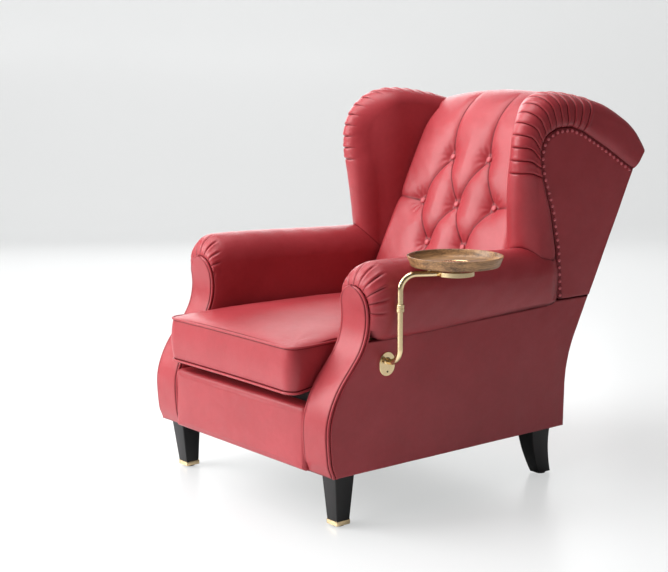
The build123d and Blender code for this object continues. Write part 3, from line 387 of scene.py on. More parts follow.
def eased(count, pull=0.85):
    """Shares from 0 to 1 that lie closer together at both ends."""
    t = np.linspace(0.0, 1.0, count)
    return t - pull * np.sin(math.tau * t) / math.tau


def smooth(value, low, high):
    t = np.clip((np.asarray(value, float) - low) / (high - low), 0.0, 1.0)
    return t * t * (3 - 2 * t)


def ripple(*places):
    """Small uneven waves, the same each time, about 1 high."""
    a, b, c = (np.asarray(p, float) for p in places)
    return (
        np.sin(31 * a + 17 * b + 1.3) * np.sin(23 * c - 11 * a + 0.7)
        + 0.5 * np.sin(67 * b + 41 * c + 2.1) * np.sin(53 * a + 29 * c)
        + 0.3 * np.sin(113 * c - 71 * b + 0.4)
    ) / 1.8


def front_line():
    """The facing's surface from the side, as (Y, Z) from its foot to its arch."""
    points = [(BODY_FRONT, 0.10), (BODY_FRONT, 0.329), (-0.298, 0.481), (-0.3225, 0.633)]
    line = rounded(points, [0.200, 0.160])
    z = np.linspace(FRAME_LOW, ARCH_Z + ARCH_R, 160)
    belly = 0.0095 * bell(z - 0.25, 0.085) - 0.010 * bell(z - FRAME_LOW, 0.022)
    return placed(np.interp(z, line[:, 1], line[:, 0]) - belly, z)


FRONT = front_line()


def front_y(z):
    return np.interp(z, FRONT[:, 1], FRONT[:, 0])


REAR = rounded([(0.418, FRAME_LOW), (0.421, 0.33), (0.421 + 0.80 * BACK_RUN, 1.13)], [0.350])


def back_y(z):
    """The outside back from the side."""
    return np.interp(z, REAR[:, 1], REAR[:, 0])


def face_y(z):
    """The front of the inside back from the side."""
    return 0.236 + (np.asarray(z, float) - 0.48) * FACE_RUN


def wing_top(y):
    """The height of the wing's top line at a depth, behind its highest place."""
    line = bezier(*WING_TOP, 60)
    return np.interp(y, line[:, 0], line[:, 1])


def box_of(name):
    """The low and the high corner of a CAD node, from the middle of the chair."""
    low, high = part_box(name)
    return np.array(low) - MIDDLE, np.array(high) - MIDDLE


# Meshes
def linked(name, data):
    item = bpy.data.objects.new(name, data)
    bpy.context.collection.objects.link(item)
    return item


def put(name, places, quads, tris=(), finish="red_leather", crease=None, sharp=48.0, rubbed=0.0):
    """A mesh object at the origin whose closed skin points outwards."""
    places = np.asarray(places, float)
    quads = np.asarray(quads, int).reshape(-1, 4)
    tris = np.asarray(tris, int).reshape(-1, 3)
    corners = places[np.concatenate([quads[:, [0, 1, 2]], quads[:, [0, 2, 3]], tris])]
    if np.einsum("ij,ij->", corners[:, 0], np.cross(corners[:, 1], corners[:, 2])) < 0:
        quads, tris = quads[:, ::-1], tris[:, ::-1]
    mesh = bpy.data.meshes.new(name)
    mesh.from_pydata((places + MIDDLE).tolist(), [], quads.tolist() + tris.tolist())
    mesh.polygons.foreach_set("use_smooth", [True] * len(mesh.polygons))
    # Painted shade and painted highlight for each place of the leather
    marks = {"crease": crease, "rubbed": np.full(len(places), rubbed) if rubbed else None}
    for label, values in marks.items():
        if values is not None:
            layer = mesh.attributes.new(label, "FLOAT", "POINT")
            layer.data.foreach_set("value", np.clip(np.asarray(values, np.float32).ravel(), 0.0, 1.0))
    mesh.materials.append(FINISHES[finish])
    mesh.update()
    mesh.set_sharp_from_angle(angle=math.radians(sharp))
    return linked(name, mesh)


def skin(rings, crease=None):
    """Closed skin over closed rings of places, both ends drawn in to a point."""
    rings = np.asarray(rings, float)
    count, size = rings.shape[:2]
    grid = np.arange(count * size).reshape(count, size)
    a, b = grid[:-1], grid[1:]
    quads = np.stack([a, np.roll(a, -1, 1), np.roll(b, -1, 1), b], axis=-1).reshape(-1, 4)
    places = np.concatenate([rings.reshape(-1, 3), [rings[0].mean(0), rings[-1].mean(0)]])
    first, last = count * size, count * size + 1
    tris = []
    for k in range(size):
        after = (k + 1) % size
        tris.append((grid[0, after], grid[0, k], first))
        tris.append((grid[-1, k], grid[-1, after], last))
    if crease is not None:
        crease = np.concatenate([np.asarray(crease, float).ravel(), [0.0, 0.0]])
    return places, quads, tris, crease


def slab(front, back, crease=None):
    """Closed skin of a panel, from the grid of its face and the grid of its hidden side."""
    rows, columns = front.shape[:2]
    face = np.arange(rows * columns).reshape(rows, columns)
    size = rows * columns

    def cells(grid):
        return np.stack([grid[:-1, :-1], grid[:-1, 1:], grid[1:, 1:], grid[1:, :-1]], axis=-1).reshape(-1, 4)

    edge = np.concatenate([face[0, :-1], face[:-1, -1], face[-1, :0:-1], face[:0:-1, 0]])
    strip = np.stack([edge, edge + size, np.roll(edge, -1) + size, np.roll(edge, -1)], axis=-1)
    quads = np.concatenate([cells(face), cells(face + size)[:, ::-1], strip])
    places = np.concatenate([front.reshape(-1, 3), back.reshape(-1, 3)])
    if crease is not None:
        crease = np.concatenate([np.asarray(crease, float).ravel(), np.zeros(size)])
    return places, quads, (), crease


def settle(item, body, nodes=()):
    """Puts a finished piece on its body and hides the CAD nodes it stands for."""
    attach(item, body)
    if nodes:
        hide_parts(*nodes)
    return item


def piece(name, shape, slot, nodes, body="chair", side=1.0, fill=None, sharp=48.0):
    """A finished piece from its closed skin, which is mirrored where the side is -1."""
    places, quads, tris, *crease = shape
    item = put(name, places * np.array([side, 1.0, 1.0]), quads, tris, slot, *crease, sharp=sharp)
    return settle(item, body, nodes)


def leather_piece(name, shape, nodes, fill=0.8, **more):
    return piece(name, shape, "red_leather", nodes, fill=fill, **more)


def rolled(distance, radius):
    """How far a padded face drops near its edge."""
    d = np.clip(np.asarray(distance, float) / radius, 0.0, 1.0)
    return -radius * (1 - np.sqrt(1 - (1 - d) ** 2))


def turned(profile, centre, axis=(0.0, 0.0, 1.0), count=64):
    """Closed skin of a turned piece, its profile given as (radius, height) from end to end."""
    profile = np.asarray(profile, float)
    spin = Vector((0.0, 0.0, 1.0)).rotation_difference(Vector(axis)).to_matrix()
    angles = np.arange(count) * math.tau / count
    rings = []
    for radius, height in profile:
        radius = max(radius, 1e-5)
        ring = placed(radius * np.cos(angles), radius * np.sin(angles), height)
        rings.append(ring @ np.array(spin).T + np.asarray(centre, float))
    return skin(rings)[:3]


def tube(line, radius, count=32):
    """Closed skin of a round bar along a line of places."""
    line = np.asarray(line, float)
    heading = unit(np.gradient(line, axis=0))
    side = Vector(heading[0]).orthogonal().normalized()
    rings = []
    angles = np.arange(count) * math.tau / count
    before = Vector(heading[0])
    for place, ahead in zip(line, heading):
        ahead = Vector(ahead)
        side.rotate(before.rotation_difference(ahead))
        up = ahead.cross(side)
        before = ahead
        rings.append(place + radius * (np.outer(np.cos(angles), side) + np.outer(np.sin(angles), up)))
    return skin(rings)[:3]


def joined(*shapes):
    """Several closed skins as one."""
    places, quads, tris, start = [], [], [], 0
    for some, fours, threes in shapes:
        places.append(some)
        quads.append(np.asarray(fours, int).reshape(-1, 4) + start)
        tris.append(np.asarray(threes, int).reshape(-1, 3) + start)
        start += len(some)
    return np.concatenate(places), np.concatenate(quads), np.concatenate(tris)


def squared(width, depth, radius, z, centre, count=5):
    """A ring with the outline of a rectangle with rounded corners."""
    ring = []
    for corner in range(4):
        turn = math.pi / 2 * corner
        sx, sy = ((1, 1), (-1, 1), (-1, -1), (1, -1))[corner]
        middle = (sx * (width / 2 - radius), sy * (depth / 2 - radius))
        for angle in np.linspace(turn, turn + math.pi / 2, count):
            ring.append((centre[0] + middle[0] + radius * math.cos(angle),
                         centre[1] + middle[1] + radius * math.sin(angle), z))
    return np.array(ring)


# Geometry Nodes
def new_tree(name, inputs):
    tree = bpy.data.node_groups.new(name, "GeometryNodeTree")
    tree.interface.new_socket(name="Geometry", in_out="INPUT", socket_type="NodeSocketGeometry")
    for label, kind in inputs:
        tree.interface.new_socket(name=label, in_out="INPUT", socket_type="NodeSocket" + kind)
    tree.interface.new_socket(name="Geometry", in_out="OUTPUT", socket_type="NodeSocketGeometry")
    source = tree.nodes.new("NodeGroupInput").outputs
    sink = tree.nodes.new("NodeGroupOutput").inputs

    def step(kind, inputs, **settings):
        return new_node(tree, kind, inputs, **settings).outputs[0]

    def end(geometry):
        plain = step("GeometryNodeRealizeInstances", {"Geometry": geometry})
        soft = step("GeometryNodeSetShadeSmooth", {"Geometry": plain})
        done = step("GeometryNodeSetMaterial", {"Geometry": soft, "Material": source["Finish"]})
        tree.links.new(done, sink[0])

    return tree, source, step, end


def piping_tree():
    """A round cord along every line of the piece."""
    inputs = [("Diameter", "Float"), ("Step", "Float"), ("Sides", "Int"), ("Finish", "Material")]
    tree, source, step, end = new_tree("piping_along_lines", inputs)
    lines = step("GeometryNodeMeshToCurve", {"Mesh": source["Geometry"]})
    lines = step("GeometryNodeResampleCurve", {"Curve": lines, "Length": source["Step"]}, mode="LENGTH")
    radius = step("ShaderNodeMath", {0: source["Diameter"], 1: 0.5}, operation="MULTIPLY")
    round_cord = step("GeometryNodeCurvePrimitiveCircle", {"Resolution": source["Sides"], "Radius": radius})
    end(step("GeometryNodeCurveToMesh", {"Curve": lines, "Profile Curve": round_cord, "Fill Caps": True}))
    return tree


def spaced_tree():
    """One item at even spaces along every line of the piece."""
    inputs = [("Item", "Object"), ("Count", "Int"), ("Finish", "Material")]
    tree, source, step, end = new_tree("items_along_lines", inputs)
    lines = step("GeometryNodeMeshToCurve", {"Mesh": source["Geometry"]})
    spots = step("GeometryNodeCurveToPoints", {"Curve": lines, "Count": source["Count"]}, mode="COUNT")
    item = step("GeometryNodeObjectInfo", {"Object": source["Item"], "As Instance": False})
    item = item.node.outputs["Geometry"]
    end(step("GeometryNodeInstanceOnPoints", {"Points": spots, "Instance": item}))
    return tree


def turned_tree():
    """One item at every point of the piece, turned as the point says."""
    tree, source, step, end = new_tree("items_on_points", [("Item", "Object"), ("Finish", "Material")])
    spots = step("GeometryNodeMeshToPoints", {"Mesh": source["Geometry"]})
    item = step("GeometryNodeObjectInfo", {"Object": source["Item"], "As Instance": False})
    item = item.node.outputs["Geometry"]
    turn = step("GeometryNodeInputNamedAttribute", {"Name": "turn"}, data_type="FLOAT_VECTOR")
    end(step("GeometryNodeInstanceOnPoints", {"Points": spots, "Instance": item, "Rotation": turn}))
    return tree


def grown(name, tree, lines, values, turns=None):
    """A plain mesh that a tree of nodes grows from lines of places or from single places."""
    places, edges = [], []
    for line in lines:
        start = len(places)
        places += (np.asarray(line, float) + MIDDLE).tolist()
        edges += [(k, k + 1) for k in range(start, len(places) - 1)]
    mesh = bpy.data.meshes.new(name + "_lines")
    mesh.from_pydata(places, edges, [])
    if turns is not None:
        layer = mesh.attributes.new("turn", "FLOAT_VECTOR", "POINT")
        layer.data.foreach_set("vector", np.asarray(turns, np.float32).ravel())
    host = linked(name + "_lines", mesh)
    modifier = host.modifiers.new(tree.name, "NODES")
    modifier.node_group = tree
    for socket in tree.interface.items_tree:
        if socket.item_type == "SOCKET" and socket.in_out == "INPUT" and socket.name in values:
            modifier[socket.identifier] = values[socket.name]
    evaluated = host.evaluated_get(bpy.context.evaluated_depsgraph_get())
    plain = bpy.data.meshes.new_from_object(evaluated)
    bpy.data.objects.remove(host)
    plain.name = name
    if not plain.polygons:
        raise RuntimeError("no faces were made for " + name)
    plain.set_sharp_from_angle(angle=math.radians(48.0))
    return linked(name, plain)


def item_to_repeat(name, shape, rubbed=0.0):
    """A small piece round the origin that a tree repeats, with as much painted highlight over it as the last
    number says. It is removed afterwards.
    """
    places, quads, tris = shape
    return put(name, np.asarray(places) - MIDDLE, quads, tris, rubbed=rubbed)


CORD_SIDES, CORD_STEP = 12, 0.004
TREES = {"piping_along_lines": piping_tree, "items_along_lines": spaced_tree, "items_on_points": turned_tree}


def tree_named(name):
    return bpy.data.node_groups.get(name) or TREES[name]()


def piping(name, lines, diameter, nodes, body="chair"):
    values = {"Diameter": diameter, "Step": CORD_STEP, "Sides": CORD_SIDES, "Finish": FINISHES["red_leather"]}
    return settle(grown(name, tree_named("piping_along_lines"), lines, values), body, nodes)


def repeated(name, item, lines, slot, nodes, body="chair", turns=None, **values):
    """Grows copies of a small piece, at even spaces along lines or on turned points, and removes it."""
    tree = tree_named("items_along_lines" if turns is None else "items_on_points")
    made = grown(name, tree, lines, {"Item": item, "Finish": FINISHES[slot], **values}, turns)
    bpy.data.objects.remove(item)
    return settle(made, body, nodes)


# Inside back
# Half the distance between the buttons of a row, and the rows as (height, places across)
PACE = 0.075
ROWS = ((0.878, (-PACE, PACE)), (0.745, (-2 * PACE, 0.0, 2 * PACE)), (0.629, (-PACE, PACE)))
BUTTONS = [(x, z) for z, row in ROWS for x in row]
# The face is hollow from side to side: its edges, at this half width, stand this far back
BACK_DISH_HALF = 0.29
BACK_DISH = 0.016
BACK_LOW, BACK_HIGH = 0.345, 0.93
CREST = np.array([0.590, 1.064])
FAR = 9.0


def segment_gap(x, t, start, end):
    """Distance of places from a straight fold."""
    dx, dt = end[0] - start[0], end[1] - start[1]
    share = np.clip(((x - start[0]) * dx + (t - start[1]) * dt) / (dx * dx + dt * dt), 0.0, 1.0)
    return np.hypot(x - start[0] - share * dx, t - start[1] - share * dt)


def back_folds():
    """Folds between neighbouring buttons, and from the outer buttons to the edges."""
    folds = []
    for x, z in BUTTONS:
        for x2, z2 in BUTTONS:
            if abs(abs(x - x2) - PACE) < 0.001 and 0 < z - z2 < 0.2:
                folds.append(((x, z), (x2, z2)))
    (top, upper), (middle, _), (low, lower) = ROWS
    folds += [((x, top), (x * 1.05, 1.12)) for x in upper]
    folds += [((x, low), (x, 0.44)) for x in lower]
    folds += [((side * 2 * PACE, middle), (side * 0.30, 0.748)) for side in (-1, 1)]
    return folds


def inside_back():
    """Buttoned back: one padded skin over the face, the crest and the hidden rear."""
    s = sizes()
    face_end = np.array([face_y(0.95), 0.95])
    rear = np.array([back_y(BACK_HIGH) - REAR_COVER, BACK_HIGH])
    up = np.array([math.sin(FACE_LEAN), math.cos(FACE_LEAN)])
    down = np.array([math.sin(BACK_LEAN), math.cos(BACK_LEAN)])
    profile = np.concatenate([
        [(face_y(BACK_LOW), BACK_LOW)],
        bezier(face_end, face_end + up * 0.065, CREST - (0.080, 0.0), CREST, 40),
        bezier(CREST, CREST + (0.070, 0.0), rear + down * 0.070, rear, 40)[1:],
    ])
    line = along(profile, 285)
    # The place on the line as a height on the flat face, which goes on over the crest
    t = BACK_LOW + run_of(line) * math.cos(FACE_LEAN)
    normal = left_way(line)
    # Between the wings, and over them at the crest
    inner = np.minimum(0.2775, 0.2835 - WING_SPLAY * (line[:, 0] - WING_FRONT))
    over = smooth(line[:, 1], wing_top(line[:, 0]) - 0.045, wing_top(line[:, 0]) + 0.012)
    over = over * (1 - smooth(line[:, 0], 0.53, 0.61))
    half = inner + (0.281 - inner) * over
    u = np.linspace(-1.0, 1.0, 211)
    u = np.sign(u) * (1 - (1 - np.abs(u)) ** 1.12)
    x = u[:, None] * half[None, :]
    tt = np.broadcast_to(t, x.shape)
    fold = np.full(x.shape, FAR)
    for start, end in back_folds():
        fold = np.minimum(fold, segment_gap(x, tt, start, end))
    pull = np.full(x.shape, FAR)
    wrinkle = np.zeros(x.shape)
    for k, (bx, bz) in enumerate(BUTTONS):
        r = np.hypot(x - bx, tt - bz)
        angle = np.arctan2(tt - bz, x - bx)
        pull = np.minimum(pull, r)
        wrinkle += np.cos(11 * angle + k) * bell(r - 0.026, 0.012)
    fade = 1 - smooth(tt, 1.03, 1.125)
    depth = s.fold_depth * fade * np.exp(-fold / s.fold_width)
    depth = depth + s.tuft_depth * np.exp(-((np.maximum(pull - 0.004, 0.0) / s.tuft_radius) ** 1.15))
    depth = np.minimum(depth, s.tuft_depth)
    edge = half[None, :] * (1 - np.abs(u))[:, None]
    height = 0.004 - depth + 0.0010 * wrinkle + rolled(edge, 0.030) + 0.0008 * ripple(x, tt, x + tt)
    share = x / BACK_DISH_HALF
    y = line[None, :, 0] + BACK_DISH * share**2 + normal[None, :, 0] * height
    z = line[None, :, 1] - 0.030 * share**2 * smooth(tt, 0.85, 1.10) + normal[None, :, 1] * height
    front = placed(x, y, z)
    # The hidden rear, which leaves room for the frame
    hidden_line = along(np.array([
        rear - (0.001, 0.004), (back_y(0.905) - REAR_COVER, 0.905), (back_y(0.900) - 0.070, 0.900),
        (back_y(0.36) - 0.070, 0.350), (face_y(BACK_LOW) + 0.02, 0.340),
    ]), 16)
    hidden_x = u[:, None] * np.interp(hidden_line[:, 1], [0.34, 0.9, 0.93], [0.27, 0.235, 0.25])[None, :]
    hidden = placed(hidden_x, hidden_line[None, :, 0], hidden_line[None, :, 1])
    rings = np.concatenate([front, hidden], axis=1)
    # Painted shade in the folds, along the edges and round the buttons
    dark = 0.92 * bell(fold, 0.0021) * fade * (pull > 0.004)
    dark = np.maximum(dark, 0.8 * smooth(0.010 - edge, 0.0, 0.012))
    dark = np.maximum(dark, 0.55 * np.exp(-((pull / 0.013) ** 4)))
    dark = np.concatenate([dark, np.zeros(hidden.shape[:2])], axis=1)
    leather_piece("inside_back_leather", skin(rings, dark), ["back_pad"], fill=0.85, sharp=80.0)


def buttons():
    """Covered buttons, sunk into the back."""
    s = sizes()
    r, h = s.button_diameter / 2, s.button_height
    profile = [
        (0, -0.002), (r * 0.9, -0.002), (r, h * 0.2), (r * 0.97, h * 0.45), (r * 0.85, h * 0.72),
        (r * 0.6, h * 0.92), (r * 0.3, h * 0.99), (0, h),
    ]
    # The buttons get some painted highlight all over
    item = item_to_repeat("covered_button", turned(profile, (0, 0, 0), count=24), 0.35)
    depth = s.tuft_depth - 0.0025
    spots = []
    for x, z in BUTTONS:
        set_back = BACK_DISH * (x / BACK_DISH_HALF) ** 2
        y = face_y(z) + set_back + depth * math.cos(FACE_LEAN)
        spots.append([(x, y, z - depth * math.sin(FACE_LEAN))])
    turns = [(math.pi / 2 - FACE_LEAN, 0.0, 0.0)] * len(spots)
    repeated("back_buttons_leather", item, spots, "red_leather", ["back_buttons"], turns=turns)


# Arms
# Length of the arm, of its domed front, and where it ends under the wing
ARM_LENGTH, ARM_DOME, ARM_REAR = 0.6925, 0.062, 0.374
CROWN_X = 0.352
ARM_LOW = 0.300
PLEATS_LOW = 0.47


def arm_ring(growth, fall, taper, rise):
    """One section of the arm with its inner wall, as (X, Z): up inside, over the roll, back below."""
    def between(small, full):
        return small + (full - small) * growth

    inner = between(FACING_IN, SEAT_HALF)
    outer = between(HALF_WIDTH, 0.425) - taper
    crown = between(ARCH_X, CROWN_X)
    top = between(ARCH_Z + ARCH_R, 0.666) - fall
    inner_top = between(ARCH_Z, 0.588) - fall
    outer_mid = between(ARCH_Z, 0.580) - fall / 2
    under = between(WING_FOOT, 0.470) + rise
    tuck = between(HALF_WIDTH - 0.004, HALF_WIDTH - 0.001)
    q = np.linspace(0.0, math.pi / 2, 61)
    below = np.array([(tuck, under), (inner + 0.016, under), (inner + 0.016, ARM_LOW)])
    return np.concatenate([
        placed(inner, np.linspace(ARM_LOW, inner_top, 24))[:-1],
        placed(crown + (inner - crown) * np.cos(q), inner_top + (top - inner_top) * np.sin(q))[:-1],
        placed(crown + (outer - crown) * np.sin(q), outer_mid + (top - outer_mid) * np.cos(q))[:-1],
        placed(tuck + (outer - tuck) * np.cos(q), outer_mid - (outer_mid - under) * np.sin(q))[:-1],
        along(below, 14),
    ])


ARM_PLEATS = (
    # (turn round the arch in degrees from the outer side, reach, strength)
    (-12.0, 0.044, 0.8), (10.0, 0.052, 1.0), (30.0, 0.056, 1.0), (50.0, 0.058, 1.0), (69.0, 0.056, 1.0),
    (88.0, 0.052, 1.0), (108.0, 0.048, 1.0), (130.0, 0.040, 0.8), (150.0, 0.034, 0.7), (170.0, 0.030, 0.6),
)


def arm(side_name, side):
    """The arm's roll, ring by ring from its domed and pleated front to the wing."""
    s = sizes()
    dome = ARM_DOME * (1 - np.cos(np.linspace(0.0, math.pi / 2, 30)))[:-1]
    rings, dark = [], []
    for offset in np.concatenate([dome, np.linspace(ARM_DOME, ARM_LENGTH, 76)]):
        growth = math.sqrt(max(0.0, 1 - (1 - min(offset / ARM_DOME, 1.0)) ** 2))
        far = float(smooth(offset, ARM_DOME, 0.66))
        end = float(smooth(offset, 0.655, ARM_LENGTH))
        ring = arm_ring(growth, 0.014 * far, 0.017 * far + 0.013 * end, 0.020 * far)
        x, z = ring.T
        y = front_y(z) + 0.0045
        y = y + offset / ARM_LENGTH * (ARM_REAR - y)
        turn = np.degrees(np.arctan2(z - ARCH_Z, x - ARCH_X))
        radius = np.hypot(x - ARCH_X, z - ARCH_Z)
        fold = np.zeros(len(ring))
        shade = np.zeros(len(ring))
        for degrees, reach, strength in ARM_PLEATS:
            slant = degrees + 120.0 * offset * math.cos(math.radians(degrees))
            gap = np.abs(np.radians(turn - slant) * radius)
            fade = strength * (1 - smooth(offset, reach * 0.45, reach)) * (z > PLEATS_LOW)
            fold += fade * (-s.pleat_depth * np.exp(-gap / s.pleat_width) + 0.0016 * bell(gap - 0.006, 0.004))
            # Painted shade in each pleat
            shade = np.maximum(shade, 0.85 * fade * bell(gap, 0.0013))
        visible = (z > PLEATS_LOW + 0.01) | (x < SEAT_HALF + 0.004)
        lift = (fold + 0.0012 * ripple(x * 0.8, y, z)) * visible
        out = left_way(ring, closed=True)
        rings.append(placed(x + out[:, 0] * lift, y, z + out[:, 1] * lift))
        # Painted shadow under the roll where it meets the outside panel, and painted shade at the rear end
        # against the wing
        under = 0.9 * (bell(x - HALF_WIDTH, 0.007) * (z < 0.50))
        rear = 0.6 * float(smooth(offset, 0.686, ARM_LENGTH))
        dark.append(np.maximum(shade, np.maximum(under, rear)))
    # The skin starts with a ring inside the arm
    hidden = rings[0] * (1, 0, 1) - (0, 0.280, 0)
    shape = skin([hidden] + rings, [np.zeros(len(hidden))] + dark)
    leather_piece("arm_leather_" + side_name, shape, ["arm_pad_" + side_name], side=side, sharp=70.0)


# Facings and their piping
SEAM_CORD = 0.0048


def facing(side_name, side):
    """The front of the arm below its roll: a narrow S-curved panel with a round top."""
    low = np.linspace(FRAME_LOW, ARCH_Z, 70)
    arch = ARCH_Z + ARCH_R * np.sin(np.linspace(0.0, math.radians(88.0), 22))[1:]
    z = np.concatenate([low, arch])
    half = np.where(z > ARCH_Z, np.sqrt(np.maximum(ARCH_R**2 - (z - ARCH_Z) ** 2, 1e-8)), ARCH_R) - 0.002
    half, out = half[:, None], left_way(placed(front_y(z), z))[:, None, :]
    z = z[:, None]
    u = eased(29) * 2 - 1
    x = ARCH_X + u * half
    edge = np.minimum(half * (1 - np.abs(u)), z - FRAME_LOW + 0.003)
    height = 0.0045 + rolled(edge, 0.010) + 0.0007 * ripple(x, z, x)
    front = placed(x, front_y(z) + out[..., 0] * height, z + out[..., 1] * height)
    back = placed(x, front_y(z) + 0.012, z)
    # Painted shade along the edges, under the piping
    shape = slab(front, back, 0.75 * smooth(0.0094 - edge, 0.0, 0.0035))
    leather_piece("facing_leather_" + side_name, shape, ["front_facing_" + side_name], side=side, fill=0.9)


def facing_cords(side_name, side):
    """A cord up the inner side, round the arch and down the outer side, and a thin one in the side seam."""
    r = sizes().piping_diameter / 2
    z = np.linspace(COVER_LOW, ARCH_Z, 120)
    turn = np.linspace(math.pi, 0.0, 40)
    top_z = ARCH_Z + (ARCH_R - r) * np.sin(turn)
    inner = placed(FACING_IN + r, front_y(z) + 0.0003, z)
    arch = placed(ARCH_X + (ARCH_R - r) * np.cos(turn), front_y(top_z) + 0.0003, top_z)
    outer = placed(HALF_WIDTH - r, front_y(z) + 0.0003, z)[::-1]
    edge = np.concatenate([inner, arch[1:-1], outer]) * (side, 1.0, 1.0)
    piping("facing_piping_leather_" + side_name, [edge], 2 * r, ["facing_piping_" + side_name])
    z = np.linspace(COVER_LOW, 0.50, 90)
    seam = placed(HALF_WIDTH - 0.0006, front_y(z) + 0.0072, z) * (side, 1.0, 1.0)
    piping("side_seam_cord_" + side_name, [seam], SEAM_CORD, [])


# Wings
# The round front corner of the wing's outline
WING_ARC = (0.385, 0.922)
WING_ARC_R = 0.15
WING_FRONT = 0.235
WING_SPLAY = 0.22
WING_CENTRE = np.array([0.47, 0.80])
# How far out the wing's outer side reaches, and its rear
WING_OUT, WING_REAR_OUT = 0.3950, 0.3935
PLEAT_COUNT = 13
# Where the first and the last pleat leave the outer line, and where they end on the seam
PLEATS_FROM = ((0.237, 0.8556), (0.505, 1.058))
PLEATS_TO = ((0.319, 0.851), (0.445, 0.971))


def flare(z):
    """1 at the wing's foot, 0 above its narrow part."""
    return 1 - np.clip((np.asarray(z, float) - 0.65) / 0.23, 0.0, 1.0)


def nearest(line, place):
    return int(np.argmin(np.linalg.norm(line - np.array(place), axis=1)))


def wing_lines():
    """Matching stations on the wing's outer line and on its panel seam, from the foot to the rear corner."""
    low_z = np.linspace(WING_FOOT, WING_ARC[1], 90)
    low = placed(WING_FRONT + 0.024 * flare(low_z), low_z)
    turn = np.linspace(math.pi, math.pi / 2, 70)
    arc = placed(WING_ARC[0] + WING_ARC_R * np.cos(turn), WING_ARC[1] + WING_ARC_R * np.sin(turn))
    outline = np.concatenate([low, arc[1:], bezier(*WING_TOP, 90)[1:]])
    outline = along(outline, 330)
    seam = rounded(WING_SEAM, [0.1, 0.1, 0.1, 0.08, 0.05, 0.05, 0.04, 0.05, 0.05, 0.1])
    run, seam_run = run_of(outline), run_of(seam)
    marks = [0.0, *(run[nearest(outline, place)] for place in PLEATS_FROM), run[-1]]
    seam_marks = [0.0, *(seam_run[nearest(seam, place)] for place in PLEATS_TO), seam_run[-1]]
    shares = np.interp(run, marks, seam_marks) / seam_run[-1]
    for _ in range(80):
        shares[1:-1] = (shares[:-2] + 2 * shares[1:-1] + shares[2:]) / 4
    return outline, placed(*(np.interp(shares * seam_run[-1], seam_run, part) for part in seam.T))


def with_pleats(outline, seam, centres):
    """Stations set close together round each pleat."""
    run = run_of(outline)
    near = np.array([-0.005, -0.003, -0.0016, -0.0007, 0.0, 0.0007, 0.0016, 0.003, 0.005])
    at = np.concatenate([np.arange(0.0, run[-1], 0.0045), [run[-1]], (centres[:, None] + near).ravel()])
    at = np.unique(np.round(np.clip(at, 0.0, run[-1]), 5))
    outline, seam = (placed(*(np.interp(at, run, part) for part in line.T)) for line in (outline, seam))
    return at, outline, seam


def arm_seam(x, place):
    """1 where the wing stands on the arm's roll, fading within a few millimetres."""
    outer = np.sqrt(np.clip(1 - ((x - CROWN_X) / 0.056) ** 2, 0.0, 1.0))
    inner = np.sqrt(np.clip(1 - ((CROWN_X - x) / 0.074) ** 2, 0.0, 1.0))
    top = 0.573 + 0.079 * np.where(x > CROWN_X, outer, inner)
    return bell(place[:, 1] - top, 0.0038) * (place[:, 0] < 0.372)


